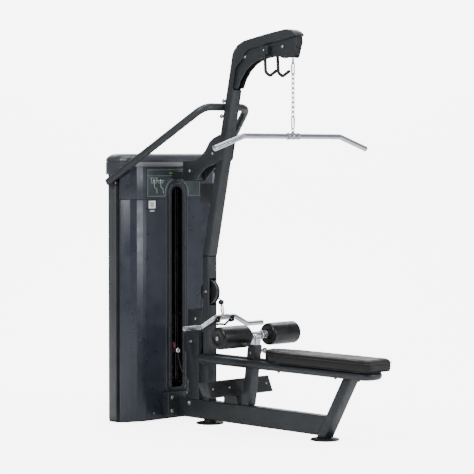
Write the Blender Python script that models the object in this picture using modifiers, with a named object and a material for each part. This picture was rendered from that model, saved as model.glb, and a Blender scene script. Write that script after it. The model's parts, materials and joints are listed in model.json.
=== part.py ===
"""Lat pulldown machine with a low row station: one object per sub-part.

World frame, metres: +Z up, X across the machine, -Y towards the seat, +Y
towards the weight tower.  The origin is the middle of the rear foot's sole,
straight under the main column.
"""
import math

import bmesh
import bpy
from mathutils import Matrix, Vector

# ---------------------------------------------------------------- dimensions
GAP = 0.0003                     # clearance between touching pieces
CABLE_GAP = 0.0012               # clearance of a cable over its groove
WELD = 0.00005                   # merge distance for curve caps

BEAM_HALF = 0.030                # base beam, half width
BEAM_LOW = 0.025
BEAM_TOP = 0.136
CROSS_HALF = 0.112               # cross member in front of the tower
CROSS_Y = (0.236, 0.3145)
CROSS_Z = (0.027, 0.165)
FOOT_RADIUS = 0.080
FOOT_Y = (0.0, -0.918)

COLUMN_HALF_X = 0.035
COLUMN_HALF_Y = 0.025
COLUMN_TOP = 0.975
MAST_DEPTH = 0.055
MAST_SLOPE = -0.2150             # run in Y for each metre of height
BOOM_DEPTH = 0.057

LAT_LINE_Y = -0.6705             # the hanging cable, chain and bar
FRONT_PULLEY = (-0.612, 2.158)
REAR_PULLEY = (-0.317, 2.110)
SHEAVE_GROOVE = 0.0550
REAR_GROOVE = 0.040
SHEAVE_RIM = 0.0640
CABLE_RADIUS = 0.0032
NECK_PULLEY = (-0.066, 1.567)
NECK_GROOVE = 0.046
TOWER_PULLEY = (0.372, 1.440)
TOWER_GROOVE = 0.034

BAR_Z = 1.662
BAR_RADIUS = 0.0155
BAR_BEND_X = 0.378
BAR_END = (0.596, 1.594)

TOWER_FRONT = 0.315
TOWER_BACK = 0.480
UPRIGHT_X = 0.377                # outer faces of the rear uprights
UPRIGHT_Y = (0.3968, 0.4565)
TOWER_FLAT_X = 0.2375            # half width of the flat front panel
TOWER_SIDE_X = 0.3735
TOWER_SIDE_Y = 0.390
TOWER_TOP = 1.490
SHELL = 0.003
SLOT_HALF = 0.045
SLOT_Z = (0.190, 1.377)
STACK_Y = (0.360, 0.460)
STACK_HALF_X = 0.140
STACK_BASE = 0.210
PLATE_PITCH = 0.026
LOWER_PLATES = 7
UPPER_PLATES = 8
ROD_RADIUS = 0.0125
GUIDE_X = 0.105
PIN_RADIUS = 0.005

ROW_PULLEY = (-0.004, 0.768)
ROW_GROOVE = 0.0620
ROW_RIM = 0.0700
LOW_PULLEY = (0.129, 0.470)
LOW_GROOVE = 0.0550

RAIL_RADIUS = 0.024
RAIL_X = 0.060
RAIL_Z = 0.380
RAIL_END = -1.300
PAD_HALF = 0.106
PAD_Y = (-1.335, -0.470)
PAD_Z = (0.4045, 0.468)
LEG_LEAN = -0.571                # run in Y for each metre of height
LEG_REAR_Y = -0.8776             # rear face of the leg at floor level
LEG_DEPTH = 0.062
LEG_HALF = 0.035
LEG_LOW = 0.0135                 # underside of the leg, on top of its foot

POST_LEAN = -0.150
POST_Y = -0.300                  # post axis at floor level
ROLLER_AXIS = (-0.381, 0.540)
PIN_Z = 0.447                    # height of the pop pin in the sleeve
ROLLER_RADIUS = 0.0635

IN_YZ = (math.pi / 2, 0.0, math.pi / 2)      # local x, y, z -> Y, Z, X
IN_XZ = (math.pi / 2, 0.0, 0.0)              # local x, y, z -> X, Z, -Y
ALONG_X = (0.0, math.pi / 2, 0.0)            # local z -> X
ALONG_Y = (math.pi / 2, 0.0, 0.0)            # local z -> -Y

# ---------------------------------------------------------------- scene set-up
for old in list(bpy.data.objects):
    bpy.data.objects.remove(old, do_unlink=True)

MACHINE = bpy.data.collections.new("lat_pulldown_machine")
CUTTERS = bpy.data.collections.new("cutters")
bpy.context.scene.collection.children.link(MACHINE)
bpy.context.scene.collection.children.link(CUTTERS)


def new_material(name, colour, roughness, metallic):
    material = bpy.data.materials.new(name)
    material.use_nodes = True
    shader = material.node_tree.nodes["Principled BSDF"]
    shader.inputs["Base Color"].default_value = (*colour, 1.0)
    shader.inputs["Roughness"].default_value = roughness
    shader.inputs["Metallic"].default_value = metallic
    return material


FRAME_PAINT = ((0.060, 0.068, 0.070), 0.45, 0.2)
COVER_PAINT = ((0.030, 0.033, 0.045), 0.40, 0.1)
CHROME = ((0.80, 0.81, 0.82), 0.15, 1.0)
STEEL = ((0.45, 0.46, 0.47), 0.35, 1.0)
CAST = ((0.05, 0.05, 0.055), 0.60, 0.3)
BLACK_PLASTIC = ((0.020, 0.020, 0.022), 0.50, 0.0)
BLACK_RUBBER = ((0.015, 0.015, 0.016), 0.65, 0.0)
SEAT_VINYL = ((0.022, 0.020, 0.019), 0.55, 0.0)
RED_PLASTIC = ((0.35, 0.02, 0.03), 0.40, 0.0)


def add_object(name, data, finish):
    """Link a named object with a material of its own."""
    obj = bpy.data.objects.new(name, data)
    MACHINE.objects.link(obj)
    obj.data.materials.append(new_material(name + "_finish", *finish))
    return obj


def make_cutter(obj):
    """Move an object out of the model, to shape others."""
    MACHINE.objects.unlink(obj)
    CUTTERS.objects.link(obj)
    obj.hide_render = True
    obj.display_type = "WIRE"
    return obj


# ---------------------------------------------------------------- shape tools
def add_bevel(obj, width, segments=1):
    bevel = obj.modifiers.new("edges", "BEVEL")
    bevel.width = width
    bevel.segments = segments
    bevel.limit_method = "ANGLE"
    bevel.angle_limit = math.radians(40)
    return obj


def add_boolean(obj, cutter, operation="DIFFERENCE"):
    boolean = obj.modifiers.new(operation.lower(), "BOOLEAN")
    boolean.object = cutter
    boolean.operation = operation
    boolean.solver = "EXACT"
    return obj


def block(name, low, high, finish=FRAME_PAINT, bevel=0.0):
    """A box between two corners, with its origin at its centre."""
    centre = [(a + b) / 2 for a, b in zip(low, high)]
    size = [b - a for a, b in zip(low, high)]
    mesh = bpy.data.meshes.new(name)
    work = bmesh.new()
    bmesh.ops.create_cube(work, size=1.0)
    bmesh.ops.scale(work, vec=size, verts=work.verts)
    work.to_mesh(mesh)
    work.free()
    obj = add_object(name, mesh, finish)
    obj.location = centre
    if bevel:
        add_bevel(obj, bevel)
    return obj


def rod(name, start, end, radius, finish=STEEL, sides=16):
    """A cylinder between two points, with its origin at its middle."""
    start = Vector(start)
    end = Vector(end)
    mesh = bpy.data.meshes.new(name)
    work = bmesh.new()
    bmesh.ops.create_cone(work, cap_ends=True, segments=sides, radius1=radius,
                          radius2=radius, depth=(end - start).length)
    work.to_mesh(mesh)
    work.free()
    obj = add_object(name, mesh, finish)
    smooth(obj)
    obj.location = (start + end) / 2
    obj.rotation_euler = (end - start).to_track_quat("Z", "Y").to_euler()
    return obj


def smooth(obj):
    obj.data.shade_smooth()
    obj.data.set_sharp_from_angle(angle=math.radians(35))


def slab(name, outline, half, location, rotation, finish=FRAME_PAINT, bevel=0.0):
    """A flat outline made into a plate of thickness 2 * half."""
    curve = bpy.data.curves.new(name, "CURVE")
    curve.dimensions = "2D"
    curve.fill_mode = "BOTH"
    curve.extrude = half
    spline = curve.splines.new("POLY")
    spline.points.add(len(outline) - 1)
    for point, (u, v) in zip(spline.points, outline):
        point.co = (u, v, 0.0, 1.0)
    spline.use_cyclic_u = True
    obj = add_object(name, curve, finish)
    obj.location = location
    obj.rotation_euler = rotation
    weld = obj.modifiers.new("weld", "WELD")
    weld.merge_threshold = WELD
    if bevel:
        add_bevel(obj, bevel)
    return obj


def side_plate(name, outline, x_low, x_high, finish=FRAME_PAINT, bevel=0.0):
    """A plate whose outline is drawn in Y and Z."""
    middle = ((x_low + x_high) / 2, 0.0, 0.0)
    return slab(name, outline, (x_high - x_low) / 2, middle, IN_YZ, finish, bevel)


def front_plate(name, outline, y_low, y_high, finish=FRAME_PAINT, bevel=0.0):
    """A plate whose outline is drawn in X and Z."""
    middle = (0.0, (y_low + y_high) / 2, 0.0)
    return slab(name, outline, (y_high - y_low) / 2, middle, IN_XZ, finish, bevel)


def flat_plate(name, outline, z_low, z_high, finish=FRAME_PAINT, bevel=0.0):
    """A plate whose outline is drawn in X and Y."""
    middle = (0.0, 0.0, (z_low + z_high) / 2)
    return slab(name, outline, (z_high - z_low) / 2, middle, (0.0, 0.0, 0.0), finish, bevel)


def tube(name, points, radius, finish, resolution=2):
    """A round bar or tube along a list of points."""
    curve = bpy.data.curves.new(name, "CURVE")
    curve.dimensions = "3D"
    curve.bevel_depth = radius
    curve.bevel_resolution = resolution
    curve.use_fill_caps = True
    spline = curve.splines.new("POLY")
    spline.points.add(len(points) - 1)
    for point, place in zip(spline.points, points):
        point.co = (*place, 1.0)
    return add_object(name, curve, finish)


def turned(name, profile, location, rotation, finish, steps=20):
    """A turned shape: (radius, height) pairs from the top to the bottom."""
    mesh = bpy.data.meshes.new(name)
    verts = [(radius, 0.0, height) for radius, height in profile]
    edges = [(i, i + 1) for i in range(len(verts) - 1)]
    mesh.from_pydata(verts, edges, [])
    obj = add_object(name, mesh, finish)
    obj.location = location
    obj.rotation_euler = rotation
    screw = obj.modifiers.new("turn", "SCREW")
    screw.axis = "Z"
    screw.steps = steps
    screw.render_steps = steps
    screw.use_merge_vertices = True
    screw.merge_threshold = WELD
    screw.use_smooth_shade = True
    return obj


def as_mesh(obj):
    """Swap a curve object for a welded mesh object of the same name."""
    graph = bpy.context.evaluated_depsgraph_get()
    mesh = bpy.data.meshes.new_from_object(obj.evaluated_get(graph))
    work = bmesh.new()
    work.from_mesh(mesh)
    bmesh.ops.remove_doubles(work, verts=work.verts, dist=WELD)
    bmesh.ops.recalc_face_normals(work, faces=work.faces)
    work.to_mesh(mesh)
    work.free()
    name = obj.name
    matrix = obj.matrix_world.copy()
    bpy.data.objects.remove(obj, do_unlink=True)
    solid = bpy.data.objects.new(name, mesh)
    solid.matrix_world = matrix
    MACHINE.objects.link(solid)
    return solid


def settle():
    bpy.context.view_layer.update()


def arc(centre, radius, start, end, count):
    """Points on an arc, angles in degrees from the first axis."""
    points = []
    for i in range(count):
        angle = math.radians(start + (end - start) * i / (count - 1))
        points.append((centre[0] + radius * math.cos(angle), centre[1] + radius * math.sin(angle)))
    return points


def rounded(points, radius, steps=4):
    """An open 3D route with each inner corner turned into an arc."""
    route = [Vector(points[0])]
    for before, corner, after in zip(points, points[1:], points[2:]):
        corner = Vector(corner)
        back = (Vector(before) - corner).normalized()
        ahead = (Vector(after) - corner).normalized()
        half = back.angle(ahead) / 2
        reach = radius / math.tan(half)
        centre = corner + (back + ahead).normalized() * (radius / math.sin(half))
        first = corner + back * reach - centre
        last = corner + ahead * reach - centre
        for i in range(steps + 1):
            turn = first.angle(last) * i / steps
            axis = first.cross(last).normalized()
            route.append(centre + Matrix.Rotation(turn, 3, axis) @ first)
    route.append(Vector(points[-1]))
    return [tuple(p) for p in route]


def in_side_plane(points):
    return [(0.0, y, z) for y, z in points]


def sheave(name, centre, groove, rim, half, journal, journal_half, finish=BLACK_PLASTIC, steps=18):
    """A grooved pulley with its two journals, turning about X."""
    profile = [(0.0, journal_half), (journal, journal_half), (journal, half), (rim, half),
               (rim, half * 0.55), (groove, 0.0035), (groove, -0.0035), (rim, -half * 0.55),
               (rim, -half), (journal, -half), (journal, -journal_half), (0.0, -journal_half)]
    return turned(name, profile, (0.0, centre[0], centre[1]), ALONG_X, finish, steps)


# ---------------------------------------------------------------- base frame
def mast_centre(height):
    return (height - COLUMN_TOP) * MAST_SLOPE


def leg_rear(height):
    return LEG_REAR_Y + LEG_LEAN * height


def build_base():
    beam = [(CROSS_Y[0] - GAP, BEAM_LOW), (CROSS_Y[0] - GAP, BEAM_TOP),
            (leg_rear(BEAM_TOP) + 2 * GAP, BEAM_TOP), (leg_rear(BEAM_LOW) + 2 * GAP, BEAM_LOW)]
    side_plate("base_beam", beam, -BEAM_HALF, BEAM_HALF, bevel=0.004)
    block("t_crossmember", (-CROSS_HALF, CROSS_Y[0], CROSS_Z[0]),
          (CROSS_HALF, CROSS_Y[1], CROSS_Z[1]), bevel=0.003)
    for name, y, top in (("rear_foot", FOOT_Y[0], BEAM_LOW), ("front_foot", FOOT_Y[1], LEG_LOW)):
        profile = [(0.0, top - GAP), (0.030, top - GAP), (0.038, 0.011), (FOOT_RADIUS - 0.004, 0.009),
                   (FOOT_RADIUS, 0.006), (FOOT_RADIUS, 0.0), (0.0, 0.0)]
        turned(name, profile, (0.0, y, 0.0), (0.0, 0.0, 0.0), BLACK_RUBBER, 24)
    top = RAIL_Z - RAIL_RADIUS - GAP
    leg = [(leg_rear(LEG_LOW), LEG_LOW), (leg_rear(top), top),
           (leg_rear(top) - LEG_DEPTH, top), (leg_rear(LEG_LOW) - LEG_DEPTH, LEG_LOW)]
    side_plate("front_leg", leg, -LEG_HALF, LEG_HALF, bevel=0.005)


def build_column():
    column = block("main_column", (-COLUMN_HALF_X, -COLUMN_HALF_Y, BEAM_TOP + GAP),
                   (COLUMN_HALF_X, COLUMN_HALF_Y, COLUMN_TOP), bevel=0.005)
    window = block("column_window", (-0.024, -0.04, 0.690), (0.024, 0.04, 0.846))
    add_boolean(column, make_cutter(window))
    hole = rod("column_hole", (-0.05, *ROW_PULLEY), (0.05, *ROW_PULLEY), 0.0066)
    add_boolean(column, make_cutter(hole))


# ---------------------------------------------------------------- mast and boom
def mast_outline(depth, base, start_z):
    """Rear edge up, round the bend, along the top, nose, and back below."""
    tilt = math.atan(-MAST_SLOPE)
    half = depth / 2
    across = half / math.cos(tilt)
    outer = [(mast_centre(base) + across, base), (mast_centre(2.075) + across, 2.075)]
    bend = [(-0.2165, 2.119), (-0.229, 2.149), (-0.262, 2.181), (-0.312, 2.203)]
    top = [(-0.480, 2.232), (-0.640, 2.254), (-0.675, 2.250), (-0.706, 2.238), (-0.728, 2.220)]
    bottom = [(-0.723, 2.2130), (-0.640, 2.254 - BOOM_DEPTH), (-0.349, 2.153), (-0.318, 2.133),
              (-0.300, 2.100)]
    inner = [(mast_centre(2.000) - across, 2.000), (mast_centre(start_z) - across, start_z)]
    return outer + bend + top + bottom + inner


def build_mast():
    base = COLUMN_TOP + GAP
    mast = side_plate("upper_mast", mast_outline(MAST_DEPTH, base, base),
                      -COLUMN_HALF_X, COLUMN_HALF_X, bevel=0.006)
    settle()
    mast = as_mesh(mast)
    tilt = math.atan(-MAST_SLOPE)
    wall = 0.005
    half = (MAST_DEPTH / 2 - wall) / math.cos(tilt)
    bore = [(mast_centre(0.95) + half, 0.95), (mast_centre(2.10) + half, 2.10), (-0.245, 2.150),
            (-0.315, 2.195), (-0.480, 2.223), (-0.640, 2.246), (-0.680, 2.238), (-0.694, 2.180),
            (-0.520, 2.150), (-0.345, 2.110), (mast_centre(1.99) - 0.04, 1.99),
            (mast_centre(1.93) - 0.04, 1.93), (mast_centre(1.93) - half, 1.925),
            (mast_centre(0.95) - half, 0.95)]
    channel = side_plate("mast_bore", bore, -0.0255, 0.0255)
    settle()
    add_boolean(mast, make_cutter(as_mesh(channel)))
    port = block("mast_port", (-0.0145, mast_centre(1.56), 1.505), (0.0145, -0.060, 1.665))
    add_boolean(mast, make_cutter(port))
    front = MAST_DEPTH / 2 / math.cos(tilt)
    recess_outline = [(mast_centre(1.926) - front + 0.010, 1.926), (-0.42, 1.926), (-0.42, 2.100),
                      (-0.300, 2.100), (mast_centre(2.05) - front + 0.010, 2.05)]
    for side, low, high in (("left", -0.05, -0.0160), ("right", 0.0160, 0.05)):
        recess = side_plate("mast_recess_" + side, recess_outline, low, high)
        settle()
        add_boolean(mast, make_cutter(as_mesh(recess)))


def boom_plate_outline():
    """Web under the boom: rear edge inside the mast, then the lower curve."""
    return [(mast_centre(1.935) - 0.010, 1.935), (-0.258, 1.935), (-0.280, 1.982), (-0.318, 2.030),
            (-0.362, 2.065), (-0.405, 2.085), (-0.452, 2.099), (-0.520, 2.107), (-0.570, 2.107),
            (-0.620, 2.100), (-0.686, 2.093), (-0.698, 2.100), (-0.704, 2.123), (-0.722, 2.178),
            (-0.719, 2.2117), (-0.686, 2.2053), (-0.678, 2.220), (-0.648, 2.220), (-0.320, 2.180),
            (-0.262, 2.130), (mast_centre(2.060) - 0.010, 2.060)]


def build_boom():
    for side, low in (("left", -0.0250), ("right", 0.0200)):
        plate = side_plate("boom_plate_" + side, boom_plate_outline(), low, low + 0.005)
        settle()
        plate = as_mesh(plate)
        for label, centre in (("front", FRONT_PULLEY), ("rear", REAR_PULLEY)):
            name = "boom_hole_" + side + "_" + label
            hole = rod(name, (low - 0.01, *centre), (low + 0.015, *centre), 0.0063)
            add_boolean(plate, make_cutter(hole))
    sheave("boom_front_pulley", FRONT_PULLEY, SHEAVE_GROOVE, SHEAVE_RIM, 0.012, 0.0060, 0.0300)
    sheave("boom_rear_pulley", REAR_PULLEY, REAR_GROOVE, REAR_GROOVE + 0.008, 0.012, 0.0060, 0.0300)
    for side, low_x, x in (("left", -0.062, -0.0500), ("right", 0.0253, 0.0500)):
        route = [(x, -0.5000, 2.1300), (x, -0.5070, 2.020), (x, -0.5400, 1.997), (x, -0.5900, 2.024)]
        hook = tube("storage_hook_" + side, rounded(route, 0.016, 3), 0.0090, BLACK_RUBBER)
        settle()
        hook = as_mesh(hook)
        saddle = block("hook_saddle_" + side, (low_x, -0.528, 2.118), (low_x + 0.0367, -0.470, 2.163))
        add_boolean(hook, make_cutter(saddle), "UNION")


def build_neck():
    plate = [(0.184, 1.407), (0.184, 1.523), (0.079, 1.529), (0.037, 1.547), (-0.006, 1.587),
             (-0.039, 1.633), (-0.073, 1.656), (-0.123, 1.675), (-0.180, 1.675), (-0.150, 1.530),
             (-0.120, 1.518), (-0.073, 1.504), (-0.005, 1.484), (0.045, 1.443), (0.075, 1.408)]
    for side, low in (("left", -0.0413), ("right", 0.0353)):
        obj = side_plate("neck_plate_" + side, plate, low, low + 0.006)
        settle()
        obj = as_mesh(obj)
        hole = rod("neck_hole_" + side, (low - 0.01, *NECK_PULLEY), (low + 0.015, *NECK_PULLEY), 0.0063)
        add_boolean(obj, make_cutter(hole))
    sheave("neck_pulley", NECK_PULLEY, NECK_GROOVE, 0.053, 0.012, 0.0060, 0.048)
    block("neck_spacer", (-0.0350, 0.090, 1.415), (0.0350, TOWER_FRONT - 0.003, 1.462), bevel=0.003)


def build_brace():
    end = (0.4140, 0.4220, 1.400)
    corner = (0.170, -0.135, 1.832)
    route = [(-end[0], end[1], end[2]), (-corner[0], corner[1], corner[2]), corner, end]
    obj = tube("u_brace", rounded(route, 0.085, 5), 0.0215, FRAME_PAINT, 3)
    settle()
    obj = as_mesh(obj)
    relief = block("brace_relief", (-0.04, -0.25, 1.78),
                   (0.04, mast_centre(1.832) + MAST_DEPTH / 2 / math.cos(math.atan(MAST_SLOPE)) + 0.006,
                    1.90))
    add_boolean(obj, make_cutter(relief))
    obj.data.materials.append(new_material("u_brace_finish", *FRAME_PAINT))
    for side, sign in (("left", -1), ("right", 1)):
        diamond = [(end[1] + dy, end[2] + dz) for dy,
                   dz in ((-0.050, 0.0), (0.0, 0.038), (0.050, 0.0), (0.0, -0.038))]
        low = UPRIGHT_X + 0.0005 if sign > 0 else -UPRIGHT_X - 0.0065
        flange = side_plate("brace_flange_" + side, diamond, low, low + 0.006)
        settle()
        add_boolean(obj, make_cutter(as_mesh(flange)), "UNION")
        stub = rod("brace_stub_" + side, (sign * (UPRIGHT_X + 0.001), end[1], end[2]),
                   (sign * end[0], end[1], end[2]), 0.016)
        add_boolean(obj, make_cutter(stub), "UNION")


# ---------------------------------------------------------------- tower
def tower_section(inset):
    """Half of the front shroud's plan: flat panel, curved wing, side."""
    front = TOWER_FRONT + inset
    side = TOWER_SIDE_X - inset
    wing = [(TOWER_FLAT_X - inset * 0.4, front)]
    wing += [(0.285, front + 0.005), (0.325, front + 0.020), (0.352, front + 0.043),
             (side - 0.007, front + 0.063)]
    wing += [(side, TOWER_SIDE_Y + inset * 0.5)]
    return wing


def build_shroud():
    outer = tower_section(0.0)
    inner = tower_section(SHELL)
    half = outer + [(TOWER_SIDE_X, 0.3965)] + [(TOWER_SIDE_X - SHELL, 0.3965)] + inner[::-1]
    left = [(-x, y) for x, y in half[::-1]]
    shroud = flat_plate("front_shroud", left + half, 0.0135, TOWER_TOP, COVER_PAINT)
    settle()
    shroud = as_mesh(shroud)
    top = SLOT_Z[1] - SLOT_HALF
    bottom = SLOT_Z[0] + 0.02
    slot = [(SLOT_HALF, bottom), (SLOT_HALF, top)] + arc((0.0, top), SLOT_HALF, 0, 180, 9)[1:]
    slot += [(-SLOT_HALF, bottom), (-SLOT_HALF + 0.02, SLOT_Z[0]), (SLOT_HALF - 0.02, SLOT_Z[0])]
    opening = front_plate("slot_cutter", slot, 0.29, 0.33)
    settle()
    add_boolean(shroud, make_cutter(as_mesh(opening)))
    holder = block("holder_box", (0.1908, 0.286, 1.272), (0.300, TOWER_FRONT + 0.002, 1.388), bevel=0.004)
    add_boolean(shroud, make_cutter(holder), "UNION")
    port = block("cable_port", (-0.008, 0.29, 1.474), (0.008, 0.33, 1.4895))
    add_boolean(shroud, make_cutter(port))


def build_tower():
    build_shroud()
    plan = [(-0.22, 0.325), (0.22, 0.325), (0.330, 0.365), (0.365, 0.400), (0.365, 0.474), (-0.365, 0.474),
            (-0.365, 0.400), (-0.330, 0.365)]
    flat_plate("tower_base_plate", plan, 0.0, 0.013, CAST, bevel=0.002)
    for side, low in (("left", -UPRIGHT_X), ("right", UPRIGHT_X - 0.040)):
        block("rear_upright_" + side, (low, UPRIGHT_Y[0], 0.0135), (low + 0.040, UPRIGHT_Y[1], TOWER_TOP),
              bevel=0.004)
    edge = UPRIGHT_Y[1] + GAP
    cover = [(UPRIGHT_X - 0.0075, edge), (UPRIGHT_X - 0.0045, edge), (UPRIGHT_X - 0.0045, edge + 0.009),
             (UPRIGHT_X - 0.016, TOWER_BACK)]
    inside = [(UPRIGHT_X - 0.017, TOWER_BACK - SHELL), (UPRIGHT_X - 0.0075, edge + 0.008)]
    cover = cover + [(-x, y) for x, y in cover[::-1]] + [(-x, y) for x, y in inside[::-1]] + inside
    flat_plate("rear_cover", cover, 0.0135, TOWER_TOP, COVER_PAINT)
    cap = [(TOWER_FLAT_X + 0.01, TOWER_FRONT - 0.012), (0.298, 0.308), (0.345, 0.328), (0.374, 0.358),
           (0.387, 0.392), (0.387, 0.462), (0.375, 0.485)]
    outline = cap + [(-x, y) for x, y in cap[::-1]]
    flat_plate("top_cap", outline, TOWER_TOP + GAP, 1.566, COVER_PAINT, bevel=0.012)
    top = SLOT_Z[1] - SLOT_HALF
    card = [(-0.234, 1.312), (-0.234, 1.478), (0.190, 1.478), (0.190, 1.312), (0.062, 1.312)]
    card += arc((0.0, top), 0.062, 0, 180, 9)[1:]
    front_plate("placard", card, TOWER_FRONT - 0.0025, TOWER_FRONT - GAP, BLACK_PLASTIC)
    bezel = [(0.0585, 0.185), (0.0585, top)] + arc((0.0, top), 0.0585, 0, 180, 11)[1:] + [(-0.0585, 0.185)]
    bezel += [(-SLOT_HALF + 0.001, 0.190), (-SLOT_HALF + 0.001, top)]
    bezel += arc((0.0, top), SLOT_HALF - 0.001, 180, 0, 11)[1:] + [(SLOT_HALF - 0.001, 0.190)]
    front_plate("slot_bezel", bezel, TOWER_FRONT - 0.005, TOWER_FRONT - GAP, BLACK_PLASTIC)


def build_stack():
    lower_top = STACK_BASE + LOWER_PLATES * PLATE_PITCH
    stacks = (("lower_weight_plates", STACK_BASE, LOWER_PLATES),
              ("upper_weight_plates", lower_top + GAP, UPPER_PLATES))
    for name, base, count in stacks:
        outline = [(STACK_Y[1], base), (STACK_Y[1], base + count * PLATE_PITCH - GAP)]
        for i in reversed(range(count)):
            high = base + (i + 1) * PLATE_PITCH - GAP
            low = base + i * PLATE_PITCH
            outline += [(STACK_Y[0], high), (STACK_Y[0], low + 0.002)]
            if i:
                outline += [(STACK_Y[0] + 0.004, low + 0.002), (STACK_Y[0] + 0.004, low - GAP)]
        outline[-1:] = [(STACK_Y[0], base)]
        stack = side_plate(name, outline, -STACK_HALF_X, STACK_HALF_X, CAST)
        settle()
        stack = as_mesh(stack)
        for label, x, radius in (("rod", 0.0, ROD_RADIUS + 0.001), ("left", -GUIDE_X, 0.0135),
                                 ("right", GUIDE_X, 0.0135)):
            hole = rod(name + "_hole_" + label, (x, 0.410, base - 0.05), (x, 0.410, base + 0.3), radius,
                       sides=12)
            add_boolean(stack, make_cutter(hole))
        if count == UPPER_PLATES:
            height = base + PLATE_PITCH / 2
            hole = rod("pin_hole", (0.0, 0.35, height), (0.0, 0.400, height), PIN_RADIUS + 0.0006, sides=12)
            add_boolean(stack, make_cutter(hole))
    legs = [(-0.14, 0.0133), (-0.14, STACK_BASE - GAP), (0.14, STACK_BASE - GAP), (0.14, 0.0133),
            (0.05, 0.0133),
            (0.05, 0.16), (-0.05, 0.16), (-0.05, 0.0133)]
    base = front_plate("stack_support", legs, STACK_Y[0], STACK_Y[1], BLACK_RUBBER)
    settle()
    base = as_mesh(base)
    for side, x in (("left", -GUIDE_X), ("right", GUIDE_X)):
        hole = rod("support_hole_" + side, (x, 0.410, -0.05), (x, 0.410, 0.3), 0.0135, sides=12)
        add_boolean(base, make_cutter(hole))
        rod("guide_rod_" + side, (x, 0.410, 0.0136), (x, 0.410, 1.4297), 0.0125, CHROME, 12)
    hole = rod("support_hole_rod", (0.0, 0.410, 0.15), (0.0, 0.410, 0.3), 0.0135, sides=12)
    add_boolean(base, make_cutter(hole))
    tie = block("tower_tie_bar", (-0.3367, 0.4165, 1.430), (0.3367, 0.455, 1.486))
    for side, low in (("left", -0.0230), ("right", 0.0170)):
        cheek = block("pulley_cheek_" + side, (low, 0.3550, 1.430), (low + 0.006, 0.430, 1.465))
        add_boolean(tie, make_cutter(cheek), "UNION")
    hole = rod("tower_pulley_hole", (-0.05, *TOWER_PULLEY), (0.05, *TOWER_PULLEY), 0.0063)
    add_boolean(tie, make_cutter(hole))
    lift = (UPPER_PLATES + LOWER_PLATES) * PLATE_PITCH + STACK_BASE
    profile = [(0.0, lift + 0.060), (0.009, lift + 0.060), (0.009, lift + 0.035), (0.024, lift + 0.030),
               (0.024, lift + GAP), (ROD_RADIUS, lift + GAP), (ROD_RADIUS, STACK_BASE - 0.02),
               (0.0, STACK_BASE - 0.02)]
    turned("selector_rod", profile, (0.0, 0.410, 0.0), (0.0, 0.0, 0.0), CHROME, 16)
    return lower_top


def build_pin(height):
    profile = [(0.0, 0.049), (0.010, 0.048), (0.017, 0.040), (0.017, 0.026), (0.009, 0.020),
               (0.0085, 0.002),
               (PIN_RADIUS, 0.0), (PIN_RADIUS, -0.080), (0.0, -0.080)]
    turned("selector_pin", profile, (0.0, 0.3135, height), ALONG_Y, RED_PLASTIC, 16)
    points = [(0.0, 0.2760, height - 0.0176), (-0.001, 0.268, 0.360), (-0.004, 0.250, 0.318),
              (-0.014, 0.222, 0.286),
              (-0.029, 0.194, 0.276), (-0.0385, 0.172, 0.270), (-0.0395, 0.158, 0.262),
              (-0.0375, 0.150, 0.2478)]
    tube("pin_lanyard", smooth_route(points, 3), 0.0020, BLACK_RUBBER)
    strap = [(0.145, 0.245), (0.145, 0.190), (0.151, 0.165), (0.158, 0.157), (0.166, 0.165), (0.164, 0.190),
             (0.155, 0.245)]
    side_plate("lanyard_strap", strap, -0.0370, -0.0353, STEEL)


def smooth_route(points, steps):
    """A smooth curve through every given point."""
    route = []
    ends = [points[0]] + list(points) + [points[-1]]
    for a, b, c, d in zip(ends, ends[1:], ends[2:], ends[3:]):
        for i in range(steps):
            t = i / steps
            route.append(tuple(0.5 * (2 * q + (r - p) * t + (2 * p - 5 * q + 4 * r - s) * t * t
                                      + (3 * q - p - 3 * r + s) * t ** 3)
                               for p, q, r, s in zip(a, b, c, d)))
    route.append(tuple(points[-1]))
    return route


# ---------------------------------------------------------------- cables
def build_lat_cable():
    lift = SHEAVE_GROOVE + CABLE_RADIUS + CABLE_GAP
    rear = REAR_GROOVE + CABLE_RADIUS + CABLE_GAP
    neck = NECK_GROOVE + CABLE_RADIUS + CABLE_GAP
    tower = TOWER_GROOVE + CABLE_RADIUS + CABLE_GAP
    tilt = math.degrees(math.atan(-MAST_SLOPE))
    points = arc(FRONT_PULLEY, lift, 180, 82, 8)
    points += arc(REAR_PULLEY, rear, 82, tilt, 5)
    points += arc(NECK_PULLEY, neck, 180 + tilt, 262, 5)
    points += arc(TOWER_PULLEY, tower, 82, 0, 6)
    tube("lat_cable", in_side_plane(points), CABLE_RADIUS, STEEL)
    tail = [(LAT_LINE_Y, FRONT_PULLEY[1] - CABLE_GAP), (LAT_LINE_Y, 2.0705)]
    tube("lat_cable_tail", in_side_plane(tail), CABLE_RADIUS, STEEL)
    stack_y = TOWER_PULLEY[0] + tower
    down = [(stack_y, TOWER_PULLEY[1] - CABLE_GAP), (stack_y, 0.6613)]
    tube("stack_cable", in_side_plane(down), CABLE_RADIUS, STEEL)
    sheave("tower_pulley", TOWER_PULLEY, TOWER_GROOVE, 0.041, 0.012, 0.0060, 0.0290)


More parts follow.
